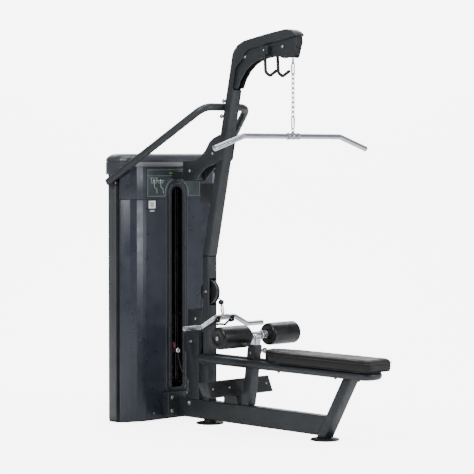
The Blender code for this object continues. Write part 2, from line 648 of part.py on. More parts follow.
def build_row_station():
    groove = ROW_GROOVE + CABLE_RADIUS + CABLE_GAP
    sheave("row_pulley", ROW_PULLEY, ROW_GROOVE, ROW_RIM, 0.014, 0.0062, 0.046)
    sheave("low_pulley", LOW_PULLEY, LOW_GROOVE, 0.0620, 0.012, 0.0060, 0.046)
    cable_x = LOW_PULLEY[0] - LOW_GROOVE - CABLE_RADIUS - CABLE_GAP
    points = [(-0.0880, 0.7230)] + arc(ROW_PULLEY, groove, 205, 0, 12) + [(cable_x, 0.640),
                                                                          (cable_x, 0.200)]
    tube("row_cable", in_side_plane(points), CABLE_RADIUS, STEEL)
    swivel = [(0.0, 0.012), (0.010, 0.010), (0.015, 0.0), (0.010, -0.011), (0.006, -0.014),
              (0.0055, -0.030),
              (0.009, -0.033), (0.009, -0.042), (0.0045, -0.047), (0.0045, -0.0675), (0.0, -0.0675)]
    turned("row_swivel", swivel, (0.0, -0.0950, 0.7110), (math.radians(-14), 0.0, 0.0), CHROME, 12)
    build_row_handle()
    bracket = block("cable_bracket", (-0.0350, 0.0253, 0.5620), (0.0350, 0.1550, 0.6600), bevel=0.006)
    gap = block("bracket_gap", (-0.0270, 0.0310, 0.5000), (0.0270, 0.1700, 0.7000))
    add_boolean(bracket, make_cutter(gap))


def build_row_handle():
    y = -0.1180
    low = 0.5785
    route = [(-0.310, y, low), (-0.186, y, low), (-0.078, y, 0.6280), (0.085, y, 0.6280), (0.186, y, low),
             (0.310, y, low)]
    tube("row_handle", rounded(route, 0.030, 3), 0.0145, CHROME, 3)
    half = [(0.055, -0.1440, 0.6090), (0.055, -0.1200, 0.6020), (0.055, -0.0980, 0.6010),
            (0.055, -0.0700, 0.5780), (0.055, -0.0320, 0.5780)]
    hooks = half + [(-x, y, z) for x, y, z in half[::-1]]
    tube("row_handle_hooks", rounded(hooks, 0.0065, 2), 0.0060, BLACK_RUBBER)


# ---------------------------------------------------------------- seat, rollers and footplate
def build_seat():
    route = [(-RAIL_X, 0.027, RAIL_Z), (-RAIL_X, RAIL_END + RAIL_RADIUS, RAIL_Z),
             (RAIL_X, RAIL_END + RAIL_RADIUS, RAIL_Z), (RAIL_X, 0.027, RAIL_Z)]
    tube("seat_rail", rounded(route, RAIL_X - 0.004, 6), RAIL_RADIUS, FRAME_PAINT, 3)
    block("seat_bracket", (-0.0350, -1.150, RAIL_Z - RAIL_RADIUS), (0.0350, -1.060, PAD_Z[0] - GAP),
          bevel=0.002)
    corner = 0.035
    pad = arc((PAD_HALF - corner, PAD_Y[0] + corner), corner, 0, -90, 5)
    pad += arc((-PAD_HALF + corner, PAD_Y[0] + corner), corner, -90, -180, 5)
    pad += [(-PAD_HALF, -0.655), (-0.083, -0.545), (-0.050, -0.490), (-0.020, PAD_Y[1])]
    pad += [(0.020, PAD_Y[1]), (0.050, -0.490), (0.083, -0.545), (PAD_HALF, -0.655)]
    flat_plate("seat_pad", pad, PAD_Z[0], PAD_Z[1], SEAT_VINYL, bevel=0.010)


def post_point(height, ahead=0.0):
    return POST_Y + POST_LEAN * height + ahead


def build_roller_post():
    low = BEAM_TOP + GAP
    collar = 0.485
    half = 0.028
    sleeve = [(post_point(low, half), low), (post_point(collar, half), collar),
              (post_point(collar, -half), collar), (post_point(low, -half), low)]
    obj = side_plate("roller_post_sleeve", sleeve, -0.030, 0.030, bevel=0.004)
    settle()
    obj = as_mesh(obj)
    inner = [(post_point(0.20, 0.0223), 0.20), (post_point(0.50, 0.0223), 0.50),
             (post_point(0.50, -0.0223), 0.50), (post_point(0.20, -0.0223), 0.20)]
    socket = side_plate("sleeve_socket", inner, -0.0213, 0.0213)
    settle()
    add_boolean(obj, make_cutter(as_mesh(socket)))
    hole = rod("pop_pin_hole", (0.015, post_point(PIN_Z), PIN_Z), (0.05, post_point(PIN_Z), PIN_Z),
               0.0056, sides=12)
    add_boolean(obj, make_cutter(hole))
    top = 0.524
    bar = [(post_point(0.28, 0.0218), 0.28), (post_point(top, 0.0218), top),
           (post_point(top, -0.0218), top), (post_point(0.28, -0.0218), 0.28)]
    post = side_plate("roller_post", bar, -0.0210, 0.0210, CHROME, bevel=0.002)
    settle()
    post = as_mesh(post)
    axle = rod("axle_solid", (-0.308, *ROLLER_AXIS), (0.314, *ROLLER_AXIS), 0.0100, CHROME, 16)
    add_boolean(post, make_cutter(axle), "UNION")
    spacer = rod("axle_spacer", (-0.0800, *ROLLER_AXIS), (0.0860, *ROLLER_AXIS), 0.0150, CHROME, 16)
    add_boolean(post, make_cutter(spacer), "UNION")
    clamp = rod("axle_clamp", (-0.030, *ROLLER_AXIS), (0.030, *ROLLER_AXIS), 0.0220, CHROME, 16)
    add_boolean(post, make_cutter(clamp), "UNION")
    for side, low_x, high_x in (("left", -0.301, -0.081), ("right", 0.087, 0.307)):
        middle = (low_x + high_x) / 2
        half_length = (high_x - low_x) / 2
        r = ROLLER_RADIUS
        profile = [(0.0105, half_length - 0.004), (0.030, half_length - 0.004), (0.040, half_length),
                   (r - 0.012, half_length), (r - 0.003, half_length - 0.005), (r, half_length - 0.016),
                   (r, -half_length + 0.016), (r - 0.003, -half_length + 0.005), (r - 0.012, -half_length),
                   (0.040, -half_length), (0.030, -half_length + 0.004), (0.0105, -half_length + 0.004),
                   (0.0105, half_length - 0.004)]
        turned("roller_" + side, profile, (middle, *ROLLER_AXIS), ALONG_X, BLACK_RUBBER, 20)
    knob = [(0.0, 0.066), (0.012, 0.064), (0.015, 0.058), (0.015, 0.044), (0.008, 0.038), (0.008, 0.0),
            (0.0050, 0.0),
            (0.0050, -0.0085), (0.0, -0.0085)]
    turned("pop_pin", knob, (0.0305, post_point(PIN_Z), PIN_Z), ALONG_X, STEEL, 16)


def build_footplate():
    plate = [(-0.150, 0.268), (-0.222, 0.280), (-0.262, 0.192), (-0.258, 0.188), (-0.217, 0.274),
             (-0.151, 0.2635)]
    obj = side_plate("footplate", plate, -0.238, 0.256)
    settle()
    obj = as_mesh(obj)
    for side, low in (("left", -0.242), ("right", 0.251)):
        wing = side_plate("footplate_wing_" + side,
                          [(-0.155, 0.2665), (-0.222, 0.2795), (-0.2605, 0.192),
                           (-0.195, 0.200)], low, low + 0.005)
        settle()
        add_boolean(obj, make_cutter(as_mesh(wing)), "UNION")
    gusset = [(-0.145, BEAM_TOP + GAP), (-0.145, 0.2620), (-0.2140, 0.2720), (-0.2480, 0.195),
              (-0.262, BEAM_TOP + GAP)]
    side_plate("footplate_gusset", gusset, -0.0295, 0.0295, bevel=0.002)


def build_bar():
    chain = [(-0.009, 2.0700), (-0.009, 1.7080), (-0.004, 1.7000), (0.004, 1.7000), (0.009, 1.7080),
             (0.009, 2.0700)]
    slab("lat_chain", chain, 0.006, (0.0, LAT_LINE_Y, 0.0), IN_XZ, CHROME)
    ends = [(-BAR_END[0], BAR_END[1]), (-BAR_BEND_X, BAR_Z), (BAR_BEND_X, BAR_Z), BAR_END]
    route = rounded([(x, LAT_LINE_Y, z) for x, z in ends], 0.060, 3)
    bar = tube("lat_bar", route, BAR_RADIUS, CHROME, 3)
    settle()
    bar = as_mesh(bar)
    bar.data.materials.append(new_material("lat_bar_finish", *CHROME))
    sleeve = rod("bar_sleeve", (-0.045, LAT_LINE_Y, BAR_Z), (0.045, LAT_LINE_Y, BAR_Z), 0.0190, CHROME, 20)
    add_boolean(bar, make_cutter(sleeve), "UNION")
    eye = rod("bar_eye", (0.0, LAT_LINE_Y, BAR_Z), (0.0, LAT_LINE_Y, 1.6994), 0.0090, CHROME, 12)
    add_boolean(bar, make_cutter(eye), "UNION")


def build_housing():
    outline = [(0.058, BEAM_TOP + GAP), (0.058, 0.530), (0.140, 0.530)] + arc((0.145, 0.485), 0.045, 90,
                                                                              0, 6)
    outline += [(0.190, 0.425), (0.167, 0.400), (0.167, BEAM_TOP + GAP)]
    obj = side_plate("pulley_housing", outline, -0.035, 0.035, bevel=0.003)
    settle()
    obj = as_mesh(obj)
    gap = block("housing_gap", (-0.0145, 0.040, 0.402), (0.0145, 0.210, 0.560))
    add_boolean(obj, make_cutter(gap))
    shaft = block("housing_shaft", (-0.008, 0.062, 0.180), (0.008, 0.080, 0.450))
    add_boolean(obj, make_cutter(shaft))
    hole = rod("housing_hole", (-0.05, *LOW_PULLEY), (0.05, *LOW_PULLEY), 0.0063)
    add_boolean(obj, make_cutter(hole))


def main():
    build_base()
    build_column()
    build_mast()
    build_boom()
    build_neck()
    build_brace()
    build_tower()
    lower_top = build_stack()
    build_pin(lower_top + GAP + PLATE_PITCH / 2)
    build_lat_cable()
    build_row_station()
    build_seat()
    build_roller_post()
    build_footplate()
    build_bar()
    build_housing()


main()
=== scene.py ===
"""Looks of the lat pulldown and low row station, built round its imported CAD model."""

import json
import math

import bmesh
import bpy
import numpy as np
from mathutils import Matrix, Vector

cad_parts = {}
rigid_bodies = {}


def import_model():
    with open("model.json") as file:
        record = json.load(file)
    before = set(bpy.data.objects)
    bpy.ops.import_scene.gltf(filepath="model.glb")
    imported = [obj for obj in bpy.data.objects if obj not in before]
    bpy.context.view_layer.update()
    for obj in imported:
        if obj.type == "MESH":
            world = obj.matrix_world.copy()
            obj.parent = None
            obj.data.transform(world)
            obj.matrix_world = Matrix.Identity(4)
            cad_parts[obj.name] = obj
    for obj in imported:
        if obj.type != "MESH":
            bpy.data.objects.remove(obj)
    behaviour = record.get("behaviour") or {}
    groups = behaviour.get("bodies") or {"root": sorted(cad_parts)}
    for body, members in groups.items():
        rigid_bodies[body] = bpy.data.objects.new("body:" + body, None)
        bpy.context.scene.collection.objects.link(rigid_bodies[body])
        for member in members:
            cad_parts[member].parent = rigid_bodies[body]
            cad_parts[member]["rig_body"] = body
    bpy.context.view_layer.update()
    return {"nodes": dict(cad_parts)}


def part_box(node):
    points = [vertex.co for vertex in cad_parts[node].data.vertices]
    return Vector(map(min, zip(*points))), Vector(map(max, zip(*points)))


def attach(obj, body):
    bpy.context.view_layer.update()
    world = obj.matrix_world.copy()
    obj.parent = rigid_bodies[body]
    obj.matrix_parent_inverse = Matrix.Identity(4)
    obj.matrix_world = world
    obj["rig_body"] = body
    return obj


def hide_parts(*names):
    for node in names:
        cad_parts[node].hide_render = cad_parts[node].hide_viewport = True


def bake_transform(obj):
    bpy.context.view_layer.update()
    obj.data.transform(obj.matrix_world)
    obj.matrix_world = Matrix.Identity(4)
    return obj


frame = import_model()
NODES = frame["nodes"]

RISE = 0.0004                        # how far trim stands off the face it lies on
SMOOTH_ANGLE = math.radians(38)


# ---------------------------------------------------------------- camera
VIEW_TURN = math.radians(-44.12)     # the camera's heading, which the backdrop faces


def make_camera():
    data = bpy.data.cameras.new("camera")
    data.sensor_width = 36.0
    data.lens = 148.8
    data.clip_end = 100.0
    camera = bpy.data.objects.new("camera", data)
    camera.location = (-7.7745, -8.2432, 1.5665)
    camera.rotation_euler = (math.pi / 2 - math.radians(2.438), 0.0, VIEW_TURN)
    bpy.context.scene.collection.objects.link(camera)
    bpy.context.scene.camera = camera


make_camera()


# ---------------------------------------------------------------- shader nodes
def start_material(name, roughness=0.5, metallic=0.0):
    """A new material, its node tree and its Principled shader."""
    material = bpy.data.materials.new(name)
    material.use_nodes = True
    tree = material.node_tree
    shader = tree.nodes["Principled BSDF"]
    shader.inputs["Roughness"].default_value = roughness
    shader.inputs["Metallic"].default_value = metallic
    return material, tree, shader


def coordinates(tree, scale=(1.0, 1.0, 1.0)):
    source = tree.nodes.new("ShaderNodeTexCoord")
    mapping = tree.nodes.new("ShaderNodeMapping")
    mapping.inputs["Scale"].default_value = scale
    tree.links.new(source.outputs["Object"], mapping.inputs["Vector"])
    return mapping.outputs["Vector"]


def noise(tree, vector, scale, detail=3.0, roughness=0.5):
    node = tree.nodes.new("ShaderNodeTexNoise")
    node.inputs["Scale"].default_value = scale
    node.inputs["Detail"].default_value = detail
    node.inputs["Roughness"].default_value = roughness
    tree.links.new(vector, node.inputs["Vector"])
    return node.outputs["Fac"]


def cells(tree, vector, scale):
    node = tree.nodes.new("ShaderNodeTexVoronoi")
    node.inputs["Scale"].default_value = scale
    tree.links.new(vector, node.inputs["Vector"])
    return node.outputs["Distance"]


def bands(tree, vector, scale, distortion=0.0, direction="DIAGONAL"):
    node = tree.nodes.new("ShaderNodeTexWave")
    node.wave_type = "BANDS"
    node.bands_direction = direction
    node.inputs["Scale"].default_value = scale
    node.inputs["Distortion"].default_value = distortion
    tree.links.new(vector, node.inputs["Vector"])
    return node.outputs["Fac"]


def between(tree, value, low, high, start=0.35, end=0.65):
    """Maps a texture value to the stretch from low to high."""
    node = tree.nodes.new("ShaderNodeMapRange")
    node.inputs["From Min"].default_value = start
    node.inputs["From Max"].default_value = end
    node.inputs["To Min"].default_value = low
    node.inputs["To Max"].default_value = high
    tree.links.new(value, node.inputs["Value"])
    return node.outputs["Result"]


def shades(tree, value, colours):
    """A colour ramp: colours is a list of (position, rgb)."""
    node = tree.nodes.new("ShaderNodeValToRGB")
    ramp = node.color_ramp
    while len(ramp.elements) < len(colours):
        ramp.elements.new(0.5)
    for element, (position, rgb) in zip(ramp.elements, colours):
        element.position = position
        element.color = (*rgb, 1.0)
    tree.links.new(value, node.inputs["Fac"])
    return node.outputs["Color"]


def bump(tree, shader, heights):
    """Stacks bumps: heights is a list of (texture value, strength, distance)."""
    normal = None
    for value, strength, distance in heights:
        node = tree.nodes.new("ShaderNodeBump")
        node.inputs["Strength"].default_value = strength
        node.inputs["Distance"].default_value = distance
        tree.links.new(value, node.inputs["Height"])
        if normal is not None:
            tree.links.new(normal, node.inputs["Normal"])
        normal = node.outputs["Normal"]
    tree.links.new(normal, shader.inputs["Normal"])


def powder_coat(name, colour, roughness=0.42, grain=420.0, depth=0.00012, spread=0.18, metallic=0.25,
                peel=0.22):
    """Paint with faint clouding and the fine orange peel of powder coat."""
    material, tree, shader = start_material(name, roughness, metallic)
    vector = coordinates(tree)
    cloud = noise(tree, vector, 5.0, 4.0, 0.6)
    fleck = noise(tree, vector, grain, 2.0, 0.5)
    dark = tuple(channel * (1.0 - spread) for channel in colour)
    light = tuple(channel * (1.0 + spread) for channel in colour)
    tree.links.new(shades(tree, cloud, [(0.3, dark), (0.7, light)]), shader.inputs["Base Color"])
    blotch = noise(tree, vector, 14.0, 3.0, 0.6)
    tree.links.new(between(tree, blotch, roughness - 0.05, roughness + 0.07), shader.inputs["Roughness"])
    bump(tree, shader, [(fleck, peel, depth)])
    return material


def bare_metal(name, colour, roughness, brush=(1.0, 1.0, 1.0), scratch=60.0, depth=0.00003):
    """Plated or polished metal with fine drawn marks and a breath of haze."""
    material, tree, shader = start_material(name, roughness, 1.0)
    vector = coordinates(tree)
    haze = noise(tree, vector, 9.0, 4.0, 0.6)
    dark = tuple(channel * 0.86 for channel in colour)
    tree.links.new(shades(tree, haze, [(0.3, dark), (0.65, colour)]), shader.inputs["Base Color"])
    drawn = noise(tree, coordinates(tree, brush), scratch, 4.0, 0.65)
    tree.links.new(between(tree, drawn, roughness * 0.75, roughness * 1.5), shader.inputs["Roughness"])
    bump(tree, shader, [(drawn, 0.12, depth)])
    return material


def moulded(name, colour, roughness, grain=900.0, depth=0.0001, strength=0.4, shine=0.32):
    """Plastic or rubber with a moulded grain and slightly uneven shine."""
    material, tree, shader = start_material(name, roughness)
    shader.inputs["Specular IOR Level"].default_value = shine
    vector = coordinates(tree)
    cloud = noise(tree, vector, 11.0, 4.0, 0.6)
    dark = tuple(channel * 0.8 for channel in colour)
    light = tuple(channel * 1.25 for channel in colour)
    tree.links.new(shades(tree, cloud, [(0.3, dark), (0.7, light)]), shader.inputs["Base Color"])
    tree.links.new(between(tree, cloud, roughness - 0.06, roughness + 0.08), shader.inputs["Roughness"])
    bump(tree, shader, [(cells(tree, vector, grain), strength, depth)])
    return material


def leather(name, colour, roughness, grain=260.0, depth=0.00035, creases=0.25):
    """Vinyl: pebbled cells, finer pores and soft creases."""
    material, tree, shader = start_material(name, roughness)
    vector = coordinates(tree)
    pebble = cells(tree, vector, grain)
    pore = noise(tree, vector, grain * 4.0, 2.0, 0.6)
    crease = noise(tree, vector, 16.0, 5.0, 0.62)
    dark = tuple(channel * 0.7 for channel in colour)
    light = tuple(channel * 1.5 for channel in colour)
    tree.links.new(shades(tree, crease, [(0.32, dark), (0.7, light)]), shader.inputs["Base Color"])
    tree.links.new(between(tree, crease, roughness - 0.06, roughness + 0.10), shader.inputs["Roughness"])
    bump(tree, shader, [(crease, creases, 0.0010), (pebble, 0.35, depth), (pore, 0.2, 0.0001)])
    shader.inputs["Specular IOR Level"].default_value = 0.32
    return material


def cast_iron(name, colour):
    material, tree, shader = start_material(name, 0.62, 0.35)
    vector = coordinates(tree)
    lump = noise(tree, vector, 180.0, 4.0, 0.7)
    cloud = noise(tree, vector, 12.0, 4.0, 0.6)
    light = tuple(channel * 1.6 for channel in colour)
    tree.links.new(shades(tree, cloud, [(0.3, colour), (0.75, light)]), shader.inputs["Base Color"])
    bump(tree, shader, [(lump, 0.5, 0.0004)])
    return material


def coated_cable(name, colour):
    """Nylon over wire rope: the strands show as slanting ridges."""
    material, tree, shader = start_material(name, 0.34)
    vector = coordinates(tree, (1.0, 1.0, 1.0))
    strand = bands(tree, vector, 160.0)
    cloud = noise(tree, vector, 20.0)
    light = tuple(channel * 1.8 for channel in colour)
    tree.links.new(shades(tree, cloud, [(0.3, colour), (0.7, light)]), shader.inputs["Base Color"])
    bump(tree, shader, [(strand, 0.45, 0.0003)])
    return material


FRAME_PAINT = powder_coat("frame_powder_coat", (0.0165, 0.0195, 0.0212))
# a lighter copy of the frame paint: painted highlight, for the lit rear uprights and the bead round the
# slot
FRAME_PAINT_PAINTED_HIGHLIGHT = powder_coat("frame_coat_painted_highlight", (0.040, 0.044, 0.046), 0.40)
COVER_PAINT = powder_coat("cover_paint_fine_texture", (0.0140, 0.0165, 0.0260), 0.32, 700.0, 0.00006, 0.10,
                          0.15, 0.02)
CAP_PAINT = powder_coat("cap_moulding", (0.028, 0.030, 0.038), 0.34, 700.0, 0.00006, 0.06, 0.10, 0.08)
# the cap's front band: a lighter copy of the cap moulding, a painted highlight
CAP_BAND_PAINTED_HIGHLIGHT = powder_coat("cap_front_band_painted_highlight", (0.120, 0.124, 0.130), 0.36, 700.0, 0.00006, 0.08, 0.10, 0.08)
CHROME = bare_metal("chrome_plate", (0.50, 0.51, 0.54), 0.16)
STEEL = bare_metal("zinc_steel", (0.34, 0.35, 0.36), 0.26, (1.0, 1.0, 1.0), 220.0)
# guide rod steel far darker than the zinc steel: painted shade for the rods inside the tower
GUIDE_STEEL_PAINTED_SHADE = bare_metal("guide_rod_steel_painted_shade", (0.060, 0.062, 0.066), 0.22, (120.0, 120.0, 1.0), 3.0)
IRON = cast_iron("plate_iron", (0.008, 0.008, 0.010))
BLACK_PLASTIC = moulded("black_nylon", (0.007, 0.007, 0.008), 0.42)
PULLEY_RIM = moulded("pulley_rim_lighter_nylon", (0.090, 0.094, 0.100), 0.24, 300.0, 0.00004, 0.2)
RUBBER = moulded("black_rubber", (0.005, 0.005, 0.0055), 0.58, 700.0, 0.00016, 0.5)
ROLLER_SKIN = leather("roller_skin", (0.0020, 0.0022, 0.0024), 0.30, 420.0, 0.00010, 0.04)
VINYL = leather("seat_vinyl", (0.0035, 0.0029, 0.0027), 0.48)
PIPING = leather("seat_piping", (0.009, 0.008, 0.008), 0.40, 600.0, 0.0001)
RED_PLASTIC = moulded("red_purple_plastic", (0.085, 0.004, 0.020), 0.40)
CARD = moulded("placard_face", (0.016, 0.024, 0.025), 0.46, 1200.0, 0.00003, 0.2)
CARD_INK = moulded("placard_outline", (0.26, 0.31, 0.30), 0.5, 1200.0, 0.00002, 0.2)
CARD_ACCENT = moulded("placard_accent", (0.11, 0.19, 0.05), 0.5, 1200.0, 0.00002, 0.2)
LABEL_WHITE = moulded("label_white", (0.62, 0.62, 0.62), 0.5, 1200.0, 0.00002, 0.2)
WINDOW = moulded("holder_black", (0.0030, 0.0030, 0.0040), 0.34, 600.0, 0.00005, 0.2)
CABLE_SKIN = coated_cable("nylon_coated_cable", (0.010, 0.010, 0.012))
# near black: the seat board's own colour, and painted shade in the cover seam and the pulleys' lightening
# holes
DARK_BOARD_AND_PAINTED_SHADE = moulded("dark_board_and_painted_shade", (0.008, 0.008, 0.010), 0.7)


# ---------------------------------------------------------------- mesh helpers
def link_mesh(name, mesh, material):
    obj = bpy.data.objects.new(name, mesh)
    mesh.materials.append(material)
    bpy.context.scene.collection.objects.link(obj)
    mesh.shade_smooth()
    mesh.set_sharp_from_angle(angle=SMOOTH_ANGLE)
    return obj


def mesh_from(name, bm, material):
    bmesh.ops.recalc_face_normals(bm, faces=bm.faces)
    mesh = bpy.data.meshes.new(name)
    bm.to_mesh(mesh)
    bm.free()
    return link_mesh(name, mesh, material)


def add_ring(bm, points):
    return [bm.verts.new(point) for point in points]


def bridge(bm, first, second):
    count = len(first)
    for i in range(count):
        j = (i + 1) % count
        bm.faces.new((first[i], first[j], second[j], second[i]))


def lathe(name, profile, matrix, material, steps=48):
    """Turns a closed profile of (radius, along) about local Z."""
    bm = bmesh.new()
    rings = []
    for k in range(steps):
        angle = 2 * math.pi * k / steps
        row = [matrix @ Vector((r * math.cos(angle), r * math.sin(angle), t)) for r, t in profile]
        rings.append(add_ring(bm, row))
    for k in range(steps):
        bridge(bm, rings[k], rings[(k + 1) % steps])
    bmesh.ops.remove_doubles(bm, verts=bm.verts, dist=1e-6)
    return mesh_from(name, bm, material)


def solid_lathe(name, profile, matrix, material, steps=48):
    """Turns an open profile whose two ends lie on the axis."""
    bm = bmesh.new()
    rings = []
    for r, t in profile[1:-1]:
        row = [(r * math.cos(2 * math.pi * k / steps), r * math.sin(2 * math.pi * k / steps), t)
               for k in range(steps)]
        rings.append(add_ring(bm, [matrix @ Vector(point) for point in row]))
    for first, second in zip(rings, rings[1:]):
        bridge(bm, first, second)
    for end, ring in ((profile[0], rings[0]), (profile[-1], rings[-1])):
        tip = bm.verts.new(matrix @ Vector((0.0, 0.0, end[1])))
        for i in range(steps):
            bm.faces.new((ring[i], ring[(i + 1) % steps], tip))
    return mesh_from(name, bm, material)


def aim(origin, direction):
    """A matrix at origin whose local Z points along direction."""
    turn = Vector(direction).to_track_quat("Z", "Y").to_matrix().to_4x4()
    return Matrix.Translation(Vector(origin)) @ turn


def ring_frames(points, closed):
    """Parallel-transported frames along a path: (point, side, up)."""
    count = len(points)
    tangents = []
    for i in range(count):
        after = points[(i + 1) % count] if closed or i < count - 1 else points[i]
        before = points[i - 1] if closed or i > 0 else points[i]
        tangents.append((after - before).normalized())
    start = Vector((0, 0, 1)) if abs(tangents[0].z) < 0.9 else Vector((1, 0, 0))
    side = tangents[0].cross(start).normalized()
    frames = []
    for point, tangent in zip(points, tangents):
        side = (side - tangent * side.dot(tangent)).normalized()
        frames.append((point, side, tangent.cross(side)))
    return frames


def sweep(name, points, radius, material, sides=20, closed=False, radii=None):
    """A round tube along a path, capped unless it closes on itself."""
    path = [Vector(p) for p in points]
    bm = bmesh.new()
    rings = []
    for index, (point, side, up) in enumerate(ring_frames(path, closed)):
        r = radii[index] if radii else radius
        row = []
        for k in range(sides):
            angle = 2 * math.pi * k / sides
            row.append(point + side * (r * math.cos(angle)) + up * (r * math.sin(angle)))
        rings.append(add_ring(bm, row))
    for first, second in zip(rings, rings[1:]):
        bridge(bm, first, second)
    if closed:
        bridge(bm, rings[-1], rings[0])
    else:
        bm.faces.new(rings[0][::-1])
        bm.faces.new(rings[-1])
    return mesh_from(name, bm, material)


def resample(points, step):
    """Evenly spaced points on a Catmull-Rom curve through the given ones."""
    path = [Vector(p) for p in points]
    padded = [path[0] * 2 - path[1]] + path + [path[-1] * 2 - path[-2]]
    fine = []
    for a, b, c, d in zip(padded, padded[1:], padded[2:], padded[3:]):
        count = max(2, int((c - b).length / step))
        for k in range(count):
            t = k / count
            fine.append(0.5 * (b * 2 + (c - a) * t + (a * 2 - b * 5 + c * 4 - d) * t * t
                               + (b * 3 - a - c * 3 + d) * t * t * t))
    fine.append(path[-1])
    return fine


def fillet(points, radius, steps=8):
    """Rounds the corners of an open path."""
    path = [Vector(p) for p in points]
    out = [path[0]]
    for before, corner, after in zip(path, path[1:], path[2:]):
        into = (before - corner).normalized()
        away = (after - corner).normalized()
        half = into.angle(away) / 2
        reach = min(radius / math.tan(half), (before - corner).length * 0.48,
                    (after - corner).length * 0.48)
        start = corner + into * reach
        end = corner + away * reach
        for k in range(steps + 1):
            t = k / steps
            out.append(start * (1 - t) ** 2 + corner * (2 * t * (1 - t)) + end * t ** 2)
    out.append(path[-1])
    return out


def prism(name, outline, to_space, low, high, material, edge=0.0, segments=3):
    """An outline raised from low to high, its rim edges rounded."""
    bm = bmesh.new()
    bottom = add_ring(bm, [to_space(a, b, low) for a, b in outline])
    top = add_ring(bm, [to_space(a, b, high) for a, b in outline])
    bridge(bm, bottom, top)
    caps = [bm.faces.new(bottom[::-1]), bm.faces.new(top)]
    bmesh.ops.recalc_face_normals(bm, faces=bm.faces)
    if edge:
        rim = list({e for face in caps for e in face.edges})
        bmesh.ops.bevel(bm, geom=rim, offset=edge, segments=segments, profile=0.5, affect="EDGES",
                        clamp_overlap=True)
    return mesh_from(name, bm, material)


def on_side(y, z, x):
    return Vector((x, y, z))


def on_front(x, z, y):
    return Vector((x, y, z))


def on_floor(x, y, z):
    return Vector((x, y, z))


def arc_points(centre, radius, start, end, count):
    """Points on an arc, angles in degrees."""
    out = []
    for k in range(count + 1):
        angle = math.radians(start + (end - start) * k / count)
        out.append((centre[0] + radius * math.cos(angle), centre[1] + radius * math.sin(angle)))
    return out


def soften(node, material, width=0.002, segments=2, limit=32):
    """A finer copy of a CAD node with its sharp edges rounded."""
    source = NODES[node]
    bm = bmesh.new()
    bm.from_mesh(source.data)
    bmesh.ops.remove_doubles(bm, verts=bm.verts, dist=1e-5)
    bmesh.ops.dissolve_limit(bm, angle_limit=math.radians(1.0), verts=bm.verts, edges=bm.edges)
    sharp = [e for e in bm.edges if len(e.link_faces) == 2 and e.calc_face_angle(0.0) > math.radians(limit)]
    bmesh.ops.bevel(bm, geom=sharp, offset=width, segments=segments, profile=0.5, affect="EDGES",
                    clamp_overlap=True)
    copy = mesh_from(node + "_finish", bm, material)
    return stand_for(copy, node)


def stand_for(obj, *nodes):
    """obj takes over the body of the nodes that it stands for."""
    body = NODES[nodes[0]]["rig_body"]
    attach(obj, body)
    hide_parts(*nodes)
    return obj


def trim(obj, body):
    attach(obj, body)
    return obj


def hex_bolt(name, at, direction, across, body, washer=1.0):
    """A hex head with its chamfer, on a thin washer."""
    matrix = aim(at, direction)
    r = across / 2
    thick = 0.0018 * washer
    disc = [(0.0, 0.0), (r * 1.35, 0.0), (r * 1.45, thick * 0.5), (r * 1.35, thick), (0.0, thick)]
    trim(solid_lathe(name + "_washer", disc, matrix, STEEL, 32), body)
    head = [(0.0, thick), (r * 1.02, thick), (r * 1.10, thick + r * 0.12), (r * 1.10, thick + r * 0.62),
            (r * 0.88, thick + r * 0.80), (0.0, thick + r * 0.80)]
    trim(solid_lathe(name + "_head", head, matrix, STEEL, 6), body)


def button_bolt(name, at, direction, across, body, material=None):
    """A domed screw with a hex socket."""
    matrix = aim(at, direction)
    r = across / 2
    dome = [(0.0, -0.0005), (r, -0.0005), (r, r * 0.12)]
    dome += [(r * math.cos(a), r * 0.12 + r * 0.50 * math.sin(a)) for a in (0.35, 0.7, 1.0)]
    dome += [(r * 0.46, r * 0.58), (r * 0.42, r * 0.30), (0.0, r * 0.26)]
    trim(solid_lathe(name, dome, matrix, material or STEEL, 24), body)


# ---------------------------------------------------------------- measures repeated from the model
LAT_LINE_Y = -0.6705
FRONT_PULLEY = (-0.612, 2.158)
REAR_PULLEY = (-0.317, 2.110)
NECK_PULLEY = (-0.066, 1.567)
TOWER_PULLEY = (0.372, 1.440)
ROW_PULLEY = (-0.004, 0.768)
LOW_PULLEY = (0.129, 0.470)
CABLE_RADIUS = 0.0032
CABLE_LIFT = CABLE_RADIUS + 0.0012   # cable centre above its groove
MAST_TILT = math.degrees(math.atan(0.2150))
ROLLER_AXIS = (-0.381, 0.540)
TOWER_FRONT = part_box("front_shroud")[0].y
TOWER_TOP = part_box("front_shroud")[1].z
SLOT_ARCH = 1.332                    # centre of the slot's round top
BAR_Z = 1.662
FLOOR_GAP = 0.0135                   # height of the tower's lower edge
SHROUD_HALF = 0.2375                 # half width of the shroud's flat front
BRACE_END = (0.422, 1.400)           # y and z where the brace meets the tower
RAIL_X = 0.060
RAIL_Z = 0.380
RAIL_RADIUS = 0.024
RAIL_END = -1.300
PAD_HALF = 0.106
PAD_FRONT = -1.335
PAD_REAR = -0.470
ROLLER_RADIUS = 0.0635


def side_path(points, x=0.0):
    return [(x, y, z) for y, z in points]


# ---------------------------------------------------------------- painted frame
def build_frame_finish():
    painted = ("base_beam", "t_crossmember", "front_leg", "main_column", "upper_mast", "neck_spacer",
               "seat_bracket", "roller_post_sleeve", "footplate_gusset", "pulley_housing", "cable_bracket",
               "tower_tie_bar")
    for node in painted:
        soften(node, FRAME_PAINT, 0.0024, 3)
    for node in ("boom_plate_left", "boom_plate_right", "neck_plate_left", "neck_plate_right", "footplate"):
        soften(node, FRAME_PAINT, 0.0010, 2)
    # the rear uprights, painted like the frame, take its lighter copy as painted highlight
    for node in ("rear_upright_left", "rear_upright_right"):
        soften(node, FRAME_PAINT_PAINTED_HIGHLIGHT, 0.0020, 3)
    soften("tower_base_plate", IRON, 0.0015, 2)
    soften("stack_support", RUBBER, 0.0015, 2)
    soften("rear_cover", COVER_PAINT, 0.0008, 2)
    soften("lanyard_strap", STEEL, 0.0004, 1)
    soften("roller_post", CHROME, 0.0008, 2)


